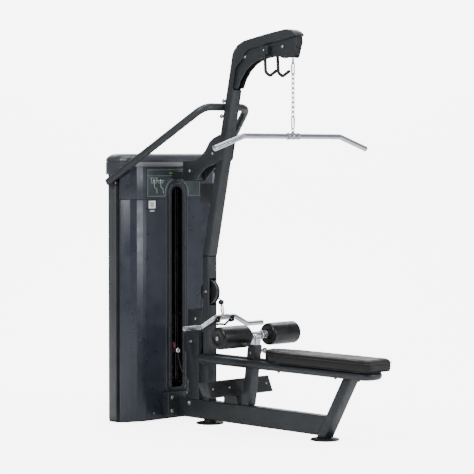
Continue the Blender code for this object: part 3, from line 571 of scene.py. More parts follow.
def build_feet():
    for node, body_y in (("rear_foot", 0.0), ("front_foot", -0.918)):
        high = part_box(node)[1]
        radius = high.x
        top = high.z
        profile = [(0.0, 0.0), (radius - 0.002, 0.0), (radius, 0.0015), (radius, 0.0055),
                   (radius - 0.002, 0.0075),
                   (radius - 0.008, 0.0090), (0.042, 0.0100), (0.036, 0.0115), (0.034, top), (0.0, top)]
        matrix = Matrix.Translation((0.0, body_y, 0.0))
        stand_for(solid_lathe(node + "_rubber", profile, matrix, RUBBER, 64), node)


def build_brace():
    end_y, end_z = BRACE_END
    route = [(-0.414, end_y, end_z), (-0.170, -0.135, 1.832), (0.170, -0.135, 1.832), (0.414, end_y, end_z)]
    tube = sweep("brace_tube", fillet(route, 0.085, 16), 0.0215, FRAME_PAINT, 32)
    stand_for(tube, "u_brace")
    for side, sign in (("left", -1), ("right", 1)):
        dome = [(0.0, -0.016), (0.0215, -0.006), (0.0190, 0.002), (0.012, 0.006), (0.0, 0.007)]
        start = Vector(route[0] if sign < 0 else route[3])
        along = start - Vector(route[1] if sign < 0 else route[2])
        trim(solid_lathe("brace_end_" + side, dome, aim(start, along), FRAME_PAINT, 32), "frame")
        diamond = [(end_y + dy, end_z + dz) for dy,
                   dz in ((-0.050, 0.0), (0.0, 0.038), (0.050, 0.0), (0.0, -0.038))]
        corners = fillet([Vector((y, z, 0.0)) for y, z in diamond + diamond[:2]], 0.012, 5)[7:-1]
        outline = [(p.x, p.y) for p in corners]
        low = sign * 0.3775
        flange = prism("brace_flange_" + side, outline, on_side, min(low, low + sign * 0.006),
                       max(low, low + sign * 0.006), FRAME_PAINT, 0.0012)
        trim(flange, "frame")
        stub = [(0.0, 0.0), (0.016, 0.0), (0.016, 0.034), (0.0, 0.034)]
        trim(solid_lathe("brace_stub_" + side, stub, aim((low, end_y, end_z), (sign, 0, 0)), FRAME_PAINT,
                         32),
             "frame")
        for dy in (-0.033, 0.033):
            button_bolt("brace_screw_%s_%d" % (side, dy > 0), (low + sign * 0.006, end_y + dy, end_z),
                        (sign, 0, 0), 0.012, "frame")


def build_mast_trim():
    for label, height in (("low", 1.780), ("high", 1.866)):
        centre = -0.215 * (height - 0.975)
        half = 0.0275 / math.cos(math.radians(MAST_TILT))
        y = centre + half + 0.0100
        shank = [(0.0, -0.0345), (0.0085, -0.0345), (0.0085, 0.0345), (0.0, 0.0345)]
        trim(solid_lathe("brace_clamp_pin_" + label, shank, aim((0.0, y, height), (1, 0, 0)), FRAME_PAINT,
                         32),
             "frame")
        for side, sign in (("left", -1), ("right", 1)):
            hex_bolt("brace_clamp_bolt_%s_%s" % (label, side), (sign * 0.0345, y, height), (sign, 0, 0),
                     0.018,
                     "frame")
    nose = [(-0.7000, 2.1080), (-0.7100, 2.1350), (-0.7080, 2.1500), (-0.7190, 2.1560), (-0.7230, 2.2100),
            (-0.7000, 2.2060)]
    trim(prism("boom_end_stop", nose, on_side, -0.0194, 0.0194, RUBBER, 0.0012, 2), "frame")
    for label, spot, x in (("boom_front", FRONT_PULLEY, 0.025), ("boom_rear", REAR_PULLEY, 0.025),
                           ("neck", NECK_PULLEY, 0.0413), ("neck_low", (0.128, 1.465), 0.0413),
                           ("row", ROW_PULLEY, 0.035), ("low_row", (0.125, 0.472), 0.035),
                           ("bracket", (0.086, 0.607), 0.035)):
        for side, sign in (("left", -1), ("right", 1)):
            at = (sign * (x + RISE), spot[0], spot[1])
            button_bolt("%s_bolt_%s" % (label, side), at, (sign, 0, 0), 0.017, "frame")


# ---------------------------------------------------------------- tower covers
def holed_plate(name, outer, hole, low, high, material):
    """A front panel with one opening, given as (x, z) loops, front face at low."""
    bm = bmesh.new()
    loops = {}
    for level in (low, high):
        rims = []
        for loop in (outer, hole):
            ring = add_ring(bm, [on_front(x, z, level) for x, z in loop])
            rims.append(ring)
            for i in range(len(ring)):
                bm.edges.new((ring[i], ring[(i + 1) % len(ring)]))
        loops[level] = rims
        edges = [e for e in bm.edges if not e.link_faces and abs(e.verts[0].co.y - level) < 1e-7
                 and abs(e.verts[1].co.y - level) < 1e-7]
        bmesh.ops.triangle_fill(bm, use_beauty=True, edges=edges)
    for first, second in zip(loops[low], loops[high]):
        bridge(bm, first, second)
    return mesh_from(name, bm, material)


def wing_section(inset):
    """Plan of the right wing from the flat panel round to the side, with crisp ridges."""
    y = TOWER_FRONT
    corners = [(SHROUD_HALF, y + inset), (0.2620, y + 0.0015 + inset),
               (0.3020 - inset * 0.2, y + 0.0090 + inset),
               (0.3360 - inset * 0.5, y + 0.0280 + inset * 0.9),
               (0.3600 - inset * 0.8, y + 0.0550 + inset * 0.6),
               (0.3725 - inset, y + 0.0740 + inset * 0.3), (0.3735 - inset, y + 0.0812)]
    fine = fillet([Vector((a, b, 0.0)) for a, b in corners], 0.010, 5)
    return [(p.x, p.y) for p in fine]


def build_shroud():
    shell = 0.003
    slot_half = 0.0448
    bottom = 0.190
    seam = 1.300
    gap = 0.0012
    hole = [(slot_half, bottom + 0.02)]
    hole += arc_points((0.0, SLOT_ARCH), slot_half, 0, 180, 24)
    hole += arc_points((-slot_half + 0.02, bottom + 0.02), 0.02, 180, 270, 8)
    hole += arc_points((slot_half - 0.02, bottom + 0.02), 0.02, 270, 360, 8)[:-1]
    outer = [(-SHROUD_HALF, FLOOR_GAP), (SHROUD_HALF, FLOOR_GAP), (SHROUD_HALF, TOWER_TOP),
             (-SHROUD_HALF, TOWER_TOP)]
    panel = holed_plate("shroud_front", outer, hole, TOWER_FRONT, TOWER_FRONT + shell, COVER_PAINT)
    stand_for(panel, "front_shroud")
    outside = wing_section(0.0)
    inside = wing_section(shell)[::-1]
    for side, sign in (("left", -1), ("right", 1)):
        outline = [(sign * a, b) for a, b in outside + inside]
        for label, low, high in (("lower", FLOOR_GAP, seam - gap), ("upper", seam + gap, TOWER_TOP)):
            wing = prism("shroud_wing_%s_%s" % (side, label), outline, on_floor, low, high, COVER_PAINT,
                         0.0008, 2)
            trim(wing, "frame")
    # a dark strip on the front panel along the cover seam: painted shade in the gap
    for label, low_x, high_x in (("left", -SHROUD_HALF, -0.087), ("right", 0.087, SHROUD_HALF)):
        groove = [(low_x, seam - gap), (high_x, seam - gap), (high_x, seam + gap), (low_x, seam + gap)]
        line = prism("shroud_seam_" + label, groove, on_front, TOWER_FRONT - 0.0003, TOWER_FRONT + 0.0005,
                     DARK_BOARD_AND_PAINTED_SHADE)
        trim(line, "frame")
    skirt = [(-SHROUD_HALF, FLOOR_GAP), (-0.100, FLOOR_GAP), (-0.100, 0.072), (-0.112, 0.080),
             (-SHROUD_HALF, 0.080)]
    trim(prism("shroud_skirt", skirt, on_front, TOWER_FRONT - 0.0022, TOWER_FRONT - RISE, COVER_PAINT,
               0.0009, 2),
         "frame")
    button_bolt("skirt_screw", (-0.182, TOWER_FRONT - 0.0022, 0.050), (0, -1, 0), 0.011, "frame")
    for x in (-0.215, 0.215):
        for z in (0.40, 0.90, 1.24):
            button_bolt("shroud_screw_%d_%d" % (x > 0, int(z * 100)), (x, TOWER_FRONT, z), (0, -1, 0),
                        0.008,
                        "frame", BLACK_PLASTIC)


def build_bezel():
    """The raised rim round the slot and the flat lip inside it."""
    def loop(half, foot, corner):
        out = [(half, foot + corner)]
        out += arc_points((0.0, SLOT_ARCH), half, 0, 180, 28)
        out += arc_points((-half + corner, foot + corner), corner, 180, 270, 8)
        out += arc_points((half - corner, foot + corner), corner, 270, 360, 8)[:-1]
        return out
    lip = holed_plate("slot_lip", loop(0.0585, 0.1850, 0.024), loop(0.0440, 0.1905, 0.018),
                      TOWER_FRONT - 0.0050, TOWER_FRONT - RISE, BLACK_PLASTIC)
    stand_for(lip, "slot_bezel")
    path = [Vector((x, TOWER_FRONT - 0.0035, z)) for x, z in loop(0.0630, 0.176, 0.026)]
    trim(sweep("slot_rim", path, 0.0042, COVER_PAINT, 16, True), "frame")
    # the outer bead takes the lighter frame paint: a painted highlight along its edge
    path = [Vector((x, TOWER_FRONT - 0.0010, z)) for x, z in loop(0.0850, 0.158, 0.030)]
    trim(sweep("slot_outer_bead", path, 0.0026, FRAME_PAINT_PAINTED_HIGHLIGHT, 12, True), "frame")


def build_cap():
    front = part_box("top_cap")[0].y
    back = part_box("top_cap")[1].y
    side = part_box("top_cap")[1].x
    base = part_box("top_cap")[0].z
    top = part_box("top_cap")[1].z
    half = [Vector((0.0, front, 0)), Vector((0.2475, front, 0)), Vector((0.298, front + 0.005, 0)),
            Vector((0.345, front + 0.025, 0)), Vector((0.374, front + 0.055, 0)),
            Vector((side, front + 0.089, 0)),
            Vector((side, back - 0.023, 0)), Vector((side - 0.012, back, 0))]
    curve = fillet(half, 0.035, 8)
    right = [(p.x, p.y) for p in curve]
    outline = right + [(-x, y) for x, y in right[::-1]][:-1]
    levels = [(0.0, 0.004), (0.0, 0.0), (0.026, 0.0), (0.028, 0.0015), (0.031, 0.0015), (0.033, 0.0)]
    rise = top - base
    nose = 0.042
    for k in range(1, 13):
        angle = math.radians(90 * k / 12)
        levels.append((rise - nose + nose * math.sin(angle), nose * (1 - math.cos(angle))))
    bm = bmesh.new()
    rings = []
    middle = (front + back) / 2
    for z, inset in levels:
        row = []
        for x, y in outline:
            scale_x = (side - inset * 1.45) / side
            scale_y = ((back - front) / 2 - inset * 0.8) / ((back - front) / 2)
            row.append((x * scale_x, middle + (y - middle) * scale_y, base + z))
        rings.append(add_ring(bm, row))
    for first, second in zip(rings, rings[1:]):
        bridge(bm, first, second)
    bm.faces.new(rings[0][::-1])
    bm.faces.new(rings[-1])
    cap = mesh_from("cap_moulding", bm, CAP_PAINT)
    stand_for(cap, "top_cap")
    # the low front band of the cap takes the lighter material, a painted highlight
    cap.data.materials.append(CAP_BAND_PAINTED_HIGHLIGHT)
    for face in cap.data.polygons:
        c = face.center
        if base + 0.001 < c.z < base + 0.026 and c.y < front + 0.004:
            face.material_index = 1
    rim = [(x, y) for x, y in right if x > 0.330]
    inner = [(x - 0.004, y) for x, y in rim[::-1]]
    for side_name, sign in (("left", -1), ("right", 1)):
        outline = [(sign * a, b) for a, b in rim + inner]
        skirt = prism("cap_skirt_" + side_name, outline, on_floor, base - 0.046, base + 0.0005, CAP_PAINT,
                      0.0010, 2)
        trim(skirt, "frame")


def build_placard():
    top = 1.478
    card = [(-0.234, 1.312), (-0.087, 1.312), (-0.087, SLOT_ARCH)]
    card += arc_points((0.0, SLOT_ARCH), 0.087, 180, 0, 24)[1:]
    card += [(0.087, 1.312), (0.190, 1.312), (0.190, top), (-0.234, top)]
    face = prism("placard_card", card, on_front, TOWER_FRONT - 0.0022, TOWER_FRONT - RISE, CARD, 0.0005, 2)
    stand_for(face, "placard")
    y = TOWER_FRONT - 0.0024

    def line(name, points, width=0.0012, material=CARD_INK):
        path = [Vector((a, y, b)) for a, b in points]
        trim(sweep(name, path, width / 2, material, 8), "frame")

    line("placard_border", [(-0.228, 1.318), (-0.228, 1.472), (0.184, 1.472), (0.184, 1.318),
                            (0.094, 1.318)])
    line("placard_border_foot", [(-0.228, 1.318), (-0.094, 1.318)])
    arch = arc_points((0.0, SLOT_ARCH), 0.0915, 180, 0, 24)
    line("placard_arch", [(-0.0915, 1.318)] + arch + [(0.0915, 1.318)], 0.0016)
    line("placard_divider", [(-0.228, 1.437), (0.184, 1.437)])
    bar = [(-0.060, 1.447), (0.120, 1.447), (0.120, 1.456), (-0.060, 1.456)]
    trim(prism("placard_stripe", bar, on_front, y - 0.0002, y + 0.0006, CARD_ACCENT), "frame")
    for index, x in enumerate((-0.178, -0.128)):
        head = solid_lathe("pictogram_head_%d" % index,
                           [(0.0, 0.0), (0.0065, 0.0), (0.0065, 0.0008), (0.0, 0.0008)],
                           aim((x, y, 1.409), (0, -1, 0)), CARD_INK, 24)
        trim(head, "frame")
        lift = 0.024 - 0.014 * index
        line("pictogram_body_%d" % index, [(x, 1.400), (x + 0.004, 1.368), (x + 0.020, 1.362),
                                           (x + 0.022, 1.336)], 0.003)
        line("pictogram_arms_%d" % index, [(x - 0.022, 1.400 + lift), (x - 0.016, 1.394), (x, 1.397),
                                           (x + 0.016, 1.394), (x + 0.022, 1.400 + lift)], 0.0026)
        line("pictogram_bar_%d" % index, [(x - 0.030, 1.400 + lift), (x + 0.030, 1.400 + lift)], 0.0022)


def build_labels():
    """A plain pale label with a blank tag under it, and the dark side window."""
    y = TOWER_FRONT - RISE
    card = [(-0.218, 1.248), (-0.166, 1.248), (-0.166, 1.292), (-0.218, 1.292)]
    trim(prism("plain_label", card, on_front, y - 0.0006, y, LABEL_WHITE, 0.0002, 1), "frame")
    inner = [(-0.206, 1.255), (-0.178, 1.255), (-0.178, 1.285), (-0.206, 1.285)]
    trim(prism("plain_label_panel", inner, on_front, y - 0.0009, y - 0.0006, CARD_INK), "frame")
    tag = [(-0.210, 1.228), (-0.174, 1.228), (-0.174, 1.238), (-0.210, 1.238)]
    trim(prism("plain_tag", tag, on_front, y - 0.0006, y, CARD_INK, 0.0002, 1), "frame")
    plan = [(0.1910, 0.2862), (0.2998, 0.2862), (0.2998, TOWER_FRONT - RISE), (0.1910, TOWER_FRONT - RISE)]
    box = prism("side_holder", plan, on_floor, 1.2722, 1.3878, WINDOW, 0.0040, 3)
    trim(box, "frame")
    for z in (1.290, 1.370):
        button_bolt("side_holder_screw_%d" % int(z * 1000), (0.1908, 0.300, z), (-1, 0, 0), 0.008, "frame")


# ---------------------------------------------------------------- weight stack and selector
def build_stack():
    plate = [(-0.1400, 0.3602), (0.1400, 0.3602), (0.1400, 0.4598), (-0.1400, 0.4598)]
    corners = fillet([Vector((x, y, 0.0)) for x, y in plate + plate[:2]], 0.008, 5)[7:-1]
    outline = [(p.x, p.y) for p in corners]
    for node, body in (("lower_weight_plates", "frame"), ("upper_weight_plates", "weight_carriage")):
        low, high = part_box(node)
        count = round((high.z - low.z) / 0.026)
        pitch = (high.z - low.z) / count
        for k in range(count):
            base = low.z + k * pitch
            slab = prism("%s_%02d" % (node, k + 1), outline, on_floor, base + 0.0004, base + pitch - 0.0012,
                         IRON, 0.0022, 2)
            if k == 0:
                stand_for(slab, node)
            else:
                trim(slab, body)
            ring = [(0.0064, 0.0), (0.0098, 0.0), (0.0090, 0.0012), (0.0064, 0.0012)]
            at = (0.0, 0.3602, base + pitch / 2)
            trim(lathe("%s_bush_%02d" % (node, k + 1), ring, aim(at, (0, -1, 0)), STEEL, 28), body)
            tick = [(-0.034, base + 0.010), (-0.018, base + 0.010), (-0.018, base + 0.0165),
                    (-0.034, base + 0.0165)]
            trim(prism("%s_tag_%02d" % (node, k + 1), tick, on_front, 0.3596, 0.3601, CARD_INK), body)


def build_rods():
    for node in ("guide_rod_left", "guide_rod_right"):
        low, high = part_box(node)
        x = (low.x + high.x) / 2
        y = (low.y + high.y) / 2
        radius = (high.x - low.x) / 2
        profile = [(0.0, low.z), (radius, low.z), (radius, high.z - 0.001), (radius - 0.001, high.z),
                   (0.0, high.z)]
        # the rods take the darkened steel, painted shade inside the tower
        stand_for(solid_lathe(node + "_shaded_steel", profile, Matrix.Translation((x, y, 0.0)), GUIDE_STEEL_PAINTED_SHADE,
                              40), node)
        collar = [(0.0129, 0.0), (0.0210, 0.0), (0.0220, 0.002), (0.0220, 0.012), (0.0210, 0.014),
                  (0.0129, 0.014)]
        trim(lathe(node + "_collar", collar, Matrix.Translation((x, y, 0.604)), BLACK_PLASTIC, 36),
             "weight_carriage")
    low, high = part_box("selector_rod")
    y = (low.y + high.y) / 2
    profile = [(0.0, high.z), (0.0075, high.z), (0.0090, high.z - 0.002), (0.0090, high.z - 0.022),
               (0.0140, high.z - 0.024), (0.0140, high.z - 0.030), (0.0235, high.z - 0.033),
               (0.0240, 0.6006),
               (0.0124, 0.6003), (0.0124, low.z), (0.0, low.z)]
    stand_for(solid_lathe("selector_rod_turned", profile, Matrix.Translation((0.0, y, 0.0)), STEEL, 40),
              "selector_rod")
    nut = [(0.0, 0.0), (0.0150, 0.0), (0.0160, 0.001), (0.0160, 0.009), (0.0140, 0.011), (0.0, 0.011)]
    trim(solid_lathe("selector_rod_nut", nut, Matrix.Translation((0.0, y, high.z - 0.001)), STEEL, 6),
         "weight_carriage")


def build_pin():
    low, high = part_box("selector_pin")
    z = (low.z + high.z) / 2
    matrix = aim((0.0, high.y, z), (0, -1, 0))
    length = high.y - low.y
    ball = 0.0165
    centre = length - ball
    profile = [(0.0, 0.0), (0.0035, 0.001), (0.0050, 0.003), (0.0050, 0.080), (0.0085, 0.082),
               (0.0088, 0.098)]
    profile += [(ball * math.sin(math.radians(a)),
                 centre - ball * math.cos(math.radians(a))) for a in range(30, 180, 15)]
    profile += [(0.0, length)]
    knob = solid_lathe("selector_pin_knob", profile, matrix, CHROME, 40)
    stand_for(knob, "selector_pin")
    collar = [(0.0090, 0.083), (0.0125, 0.083), (0.0130, 0.085), (0.0130, 0.092), (0.0120, 0.094),
              (0.0090, 0.094)]
    trim(lathe("selector_pin_collar", collar, matrix, RED_PLASTIC, 36), "pin")
    flag = [(-0.0100, z + 0.0120), (0.0100, z + 0.0120), (0.0115, z + 0.0470), (-0.0115, z + 0.0470)]
    trim(prism("selector_pin_flag", flag, on_front, 0.3060, 0.3085, RED_PLASTIC, 0.0008, 2), "pin")


def build_lanyard():
    """The pin's tether: from under the knob down to the strap on the pulley housing."""
    low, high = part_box("selector_pin")
    height = (low.z + high.z) / 2
    route = [(0.0, 0.2760, height - 0.0176), (-0.001, 0.268, 0.360), (-0.004, 0.250, 0.318),
             (-0.014, 0.222, 0.286),
             (-0.029, 0.194, 0.276), (-0.0385, 0.172, 0.270), (-0.0395, 0.158, 0.262),
             (-0.0375, 0.150, 0.2478)]
    path = resample(route, 0.006)
    cord = sweep("pin_lanyard_cord", path, 0.0020, CABLE_SKIN, 14)
    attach(cord, "frame")
    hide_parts("pin_lanyard")
    ring = [Vector((-0.0361, 0.150 + 0.0045 * math.cos(a), 0.2475 + 0.0045 * math.sin(a)))
            for a in np.linspace(0, 2 * math.pi, 24, endpoint=False)]
    trim(sweep("lanyard_ring", ring, 0.0009, STEEL, 8, True), "frame")
    button_bolt("lanyard_strap_screw", (-0.0370, 0.1585, 0.170), (-1, 0, 0), 0.009, "frame")


# ---------------------------------------------------------------- pulleys and cables
def fine_pulley(node, groove, rim, half):
    """A nylon sheave: rounded rim, cable groove, dished web, steel bearing and axle ends."""
    low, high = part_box(node)
    centre = (low + high) / 2
    matrix = aim((0.0, centre.y, centre.z), (1, 0, 0))
    body = NODES[node]["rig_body"]
    web = half * 0.55
    hub = 0.0175
    lip = half * 0.86
    profile = [(0.0112, -half), (hub, -half), (hub + 0.002, -web), (groove - 0.010, -web),
               (groove - 0.006, -lip),
               (rim - 0.002, -lip), (rim, -lip + 0.0015), (rim, -lip * 0.72)]
    profile += [(groove + 0.0030, -0.0042), (groove + 0.0006, -0.0026), (groove, 0.0),
                (groove + 0.0006, 0.0026),
                (groove + 0.0030, 0.0042)]
    profile += [(rim, lip * 0.72), (rim, lip - 0.0015), (rim - 0.002, lip), (groove - 0.006, lip),
                (groove - 0.010, web), (hub + 0.002, web), (hub, half), (0.0112, half)]
    wheel = lathe(node + "_wheel", profile, matrix, BLACK_PLASTIC, 96)
    stand_for(wheel, node)
    # the outer rim edges take a lighter, glossier nylon
    wheel.data.materials.append(PULLEY_RIM)
    for face in wheel.data.polygons:
        c = face.center
        radius = math.hypot(c.y - centre.y, c.z - centre.z)
        if radius > rim - 0.004 and abs(c.x) > lip * 0.6:
            face.material_index = 1
    bearing = [(0.0, -half - 0.0008), (0.0106, -half - 0.0008), (0.0111, -half + 0.001),
               (0.0111, half - 0.001),
               (0.0106, half + 0.0008), (0.0, half + 0.0008)]
    trim(solid_lathe(node + "_bearing", bearing, matrix, STEEL, 40), body)
    reach = high.x - 0.0002
    journal = [(0.0, -reach), (0.0058, -reach), (0.0058, reach), (0.0, reach)]
    trim(solid_lathe(node + "_axle", journal, matrix, STEEL, 24), body)
    # dark discs on the solid web stand for lightening holes: painted shade
    if groove > 0.050:
        for k in range(6):
            angle = math.radians(60 * k + 15)
            reach = (hub + groove - 0.010) / 2
            at = (0.0, centre.y + reach * math.cos(angle), centre.z + reach * math.sin(angle))
            disc = [(0.0, -web - 0.0004), (0.0075, -web - 0.0004), (0.0075, web + 0.0004),
                    (0.0, web + 0.0004)]
            trim(solid_lathe("%s_lightening_%d" % (node, k), disc, aim(at, (1, 0, 0)), DARK_BOARD_AND_PAINTED_SHADE, 24),
                 body)


def build_pulleys():
    fine_pulley("boom_front_pulley", 0.0550, 0.0640, 0.0120)
    fine_pulley("boom_rear_pulley", 0.0400, 0.0480, 0.0120)
    fine_pulley("neck_pulley", 0.0460, 0.0530, 0.0120)
    fine_pulley("tower_pulley", 0.0340, 0.0410, 0.0120)
    fine_pulley("row_pulley", 0.0620, 0.0700, 0.0140)
    fine_pulley("low_pulley", 0.0550, 0.0620, 0.0120)


def build_cables():
    tower_lift = 0.034 + CABLE_LIFT
    route = arc_points(FRONT_PULLEY, 0.055 + CABLE_LIFT, 180, 82, 20)
    route += arc_points(REAR_PULLEY, 0.040 + CABLE_LIFT, 82, MAST_TILT, 14)
    route += arc_points(NECK_PULLEY, 0.046 + CABLE_LIFT, 180 + MAST_TILT, 262, 14)
    route += arc_points(TOWER_PULLEY, tower_lift, 82, 0, 14)
    main = sweep("lat_cable_run", side_path(route), CABLE_RADIUS, CABLE_SKIN, 14)
    stand_for(main, "lat_cable")
    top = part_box("lat_cable_tail")[1].z
    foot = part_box("lat_cable_tail")[0].z
    points = [(0.0, LAT_LINE_Y, top + 0.0012 + (foot - top) * k / 12) for k in range(13)]
    tail = sweep("lat_cable_end", points, CABLE_RADIUS, CABLE_SKIN, 14)
    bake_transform(tail)
    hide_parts("lat_cable_tail")
    stack_y = TOWER_PULLEY[0] + tower_lift
    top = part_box("stack_cable")[1].z
    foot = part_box("stack_cable")[0].z
    points = [(0.0, stack_y, top + 0.0012 + (foot - top) * k / 40) for k in range(41)]
    drop = sweep("stack_cable_run", points, CABLE_RADIUS, CABLE_SKIN, 14)
    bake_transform(drop)
    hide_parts("stack_cable")
    lift = 0.062 + CABLE_LIFT
    cable_y = LOW_PULLEY[0] - 0.055 - CABLE_LIFT
    route = arc_points(ROW_PULLEY, lift, 205, 0, 32) + [(cable_y, 0.640), (cable_y, 0.200)]
    stand_for(sweep("row_cable_run", side_path(route), CABLE_RADIUS, CABLE_SKIN, 14), "row_cable")
    start = Vector((0.0, route[0][0], route[0][1]))
    end = Vector((0.0, -0.0975, 0.7210))
    points = [start + (end - start) * (k / 8) for k in range(9)]
    tail = sweep("row_cable_end", points, CABLE_RADIUS, CABLE_SKIN, 14)
    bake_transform(tail)


# ---------------------------------------------------------------- hanging chain and bar
def oval(centre, half_length, half_width, along, across, count=28):
    """A stadium-shaped loop of points."""
    points = []
    straight = half_length - half_width
    for k in range(count):
        angle = 2 * math.pi * k / count
        shift = straight if math.cos(angle) >= 0 else -straight
        points.append(Vector(centre) + Vector(along) * (shift + half_width * math.cos(angle))
                      + Vector(across) * (half_width * math.sin(angle)))
    return points


def carabiner(name, centre, half_length, half_width, along, across, body, material=None):
    """A snap hook: a bent rod with a gate sleeve and its nose."""
    material = material or STEEL
    loop = oval(centre, half_length, half_width, along, across, 36)
    trim(sweep(name, loop, 0.0038, material, 14, True), body)
    gate = Vector(centre) + Vector(across) * half_width
    start = gate - Vector(along) * (half_length * 0.42)
    end = gate + Vector(along) * (half_length * 0.42)
    sleeve = [start + (end - start) * (k / 6) for k in range(7)]
    trim(sweep(name + "_gate", sleeve, 0.0045, material, 14), body)
    trim(sweep(name + "_nose", [end, end + Vector(along) * 0.006], 0.0050, material, 14), body)


def build_chain():
    up = (0, 0, 1)
    y = LAT_LINE_Y
    thimble = [(0.0, 0.0), (0.0060, 0.0), (0.0066, 0.002), (0.0066, 0.026), (0.0050, 0.030), (0.0, 0.030)]
    end = solid_lathe("cable_ferrule", thimble, Matrix.Translation((0.0, y, 2.0600)), STEEL, 28)
    stand_for(end, "lat_chain")
    carabiner("top_snap_hook", (0.0, y, 2.0330), 0.0330, 0.0095, up, (0, 1, 0), "lat_line")
    pitch = 0.0262
    count = 9
    start = 1.9930
    for k in range(count):
        across = (1, 0, 0) if k % 2 else (0, 1, 0)
        link = oval((0.0, y, start - pitch * k), 0.0163, 0.0080, up, across)
        trim(sweep("chain_link_%02d" % (k + 1), link, 0.0029, STEEL, 12, True), "lat_line")
    carabiner("low_snap_hook", (0.0, y, 1.7380), 0.0345, 0.0095, up, (1, 0, 0), "lat_line")


def build_lat_bar():
    end_x, end_z = 0.596, 1.594
    route = [(-end_x, LAT_LINE_Y, end_z), (-0.378, LAT_LINE_Y, BAR_Z), (0.378, LAT_LINE_Y, BAR_Z),
             (end_x, LAT_LINE_Y, end_z)]
    bar = sweep("lat_bar_tube", fillet(route, 0.070, 16), 0.0152, CHROME, 36)
    stand_for(bar, "lat_bar")
    matrix = aim((0.0, LAT_LINE_Y, BAR_Z), (1, 0, 0))
    for label, centre, half in (("collar", 0.0, 0.014), ("ring_left", -0.038, 0.007),
                                ("ring_right", 0.038, 0.007)):
        ring = [(0.0150, centre - half), (0.0180, centre - half), (0.0190, centre - half + 0.0015),
                (0.0190, centre + half - 0.0015), (0.0180, centre + half), (0.0150, centre + half)]
        trim(lathe("lat_bar_" + label, ring, matrix, STEEL, 40), "lat_grip")
    sleeve = [(0.0150, -0.034), (0.0172, -0.034), (0.0172, 0.034), (0.0150, 0.034)]
    trim(lathe("lat_bar_sleeve", sleeve, matrix, CHROME, 40), "lat_grip")
    stem = [(0.0, 0.012), (0.0085, 0.012), (0.0085, 0.024), (0.0060, 0.026), (0.0, 0.026)]
    trim(solid_lathe("lat_bar_stem", stem, Matrix.Translation((0.0, LAT_LINE_Y, BAR_Z)), STEEL, 28),
         "lat_grip")
    eye = oval((0.0, LAT_LINE_Y, BAR_Z + 0.0330), 0.0100, 0.0078, (0, 0, 1), (0, 1, 0))
    trim(sweep("lat_bar_eye", eye, 0.0030, STEEL, 12, True), "lat_grip")
    for side, sign in (("left", -1), ("right", 1)):
        outer = Vector((sign * end_x, LAT_LINE_Y, end_z))
        inner = Vector((sign * 0.378, LAT_LINE_Y, BAR_Z))
        along = (inner - outer).normalized()
        grip_matrix = aim(outer, along)
        cap = [(0.0, -0.0040), (0.0120, -0.0038), (0.0158, -0.0010), (0.0160, 0.0060), (0.0150, 0.0062),
               (0.0, 0.0062)]
        trim(solid_lathe("lat_bar_cap_" + side, cap, grip_matrix, CHROME, 36), "lat_grip")


def build_row_handle():
    y = -0.1180
    low = 0.5785
    high = 0.6280
    route = [(-0.310, y, low), (-0.186, y, low), (-0.078, y, high), (0.085, y, high), (0.186, y, low),
             (0.310, y, low)]
    tube = sweep("row_handle_tube", fillet(route, 0.036, 12), 0.0143, CHROME, 32)
    stand_for(tube, "row_handle")
    for side, sign in (("left", -1), ("right", 1)):
        cap = [(0.0, 0.0005), (0.0120, 0.0), (0.0146, -0.0020), (0.0148, -0.0100), (0.0, -0.0100)]
        trim(solid_lathe("row_handle_cap_" + side, cap, aim((sign * 0.310, y, low), (sign, 0, 0)), STEEL,
                         32),
             "row_grip")
    matrix = aim((0.003, y, high), (1, 0, 0))
    collar = [(0.0141, -0.030), (0.0168, -0.030), (0.0172, -0.028), (0.0172, 0.028), (0.0168, 0.030),
              (0.0141, 0.030)]
    trim(lathe("row_handle_collar", collar, matrix, STEEL, 36), "row_grip")
    tilt = math.radians(14)
    axis = Vector((0.0, -math.sin(tilt), -math.cos(tilt)))
    centre = Vector((0.0, -0.0950, 0.7110))
    across = Vector((0.0, math.cos(tilt), -math.sin(tilt)))
    ball = [(0.0168 * math.sin(math.radians(a)), 0.0150 * math.cos(math.radians(a))) for a in range(0, 181,
                                                                                                    15)]
    stopper = solid_lathe("row_cable_stop", ball, aim(centre, axis * -1), BLACK_PLASTIC, 36)
    stand_for(stopper, "row_swivel")
    swivel = [(0.0, 0.009), (0.0060, 0.009), (0.0070, 0.011), (0.0070, 0.020), (0.0050, 0.024),
              (0.0, 0.024)]
    trim(solid_lathe("row_swivel_body", swivel, aim(centre, axis), STEEL, 28), "row_grip")
    carabiner("row_snap_hook", centre + axis * 0.0430, 0.0225, 0.0085, axis, across, "row_grip")


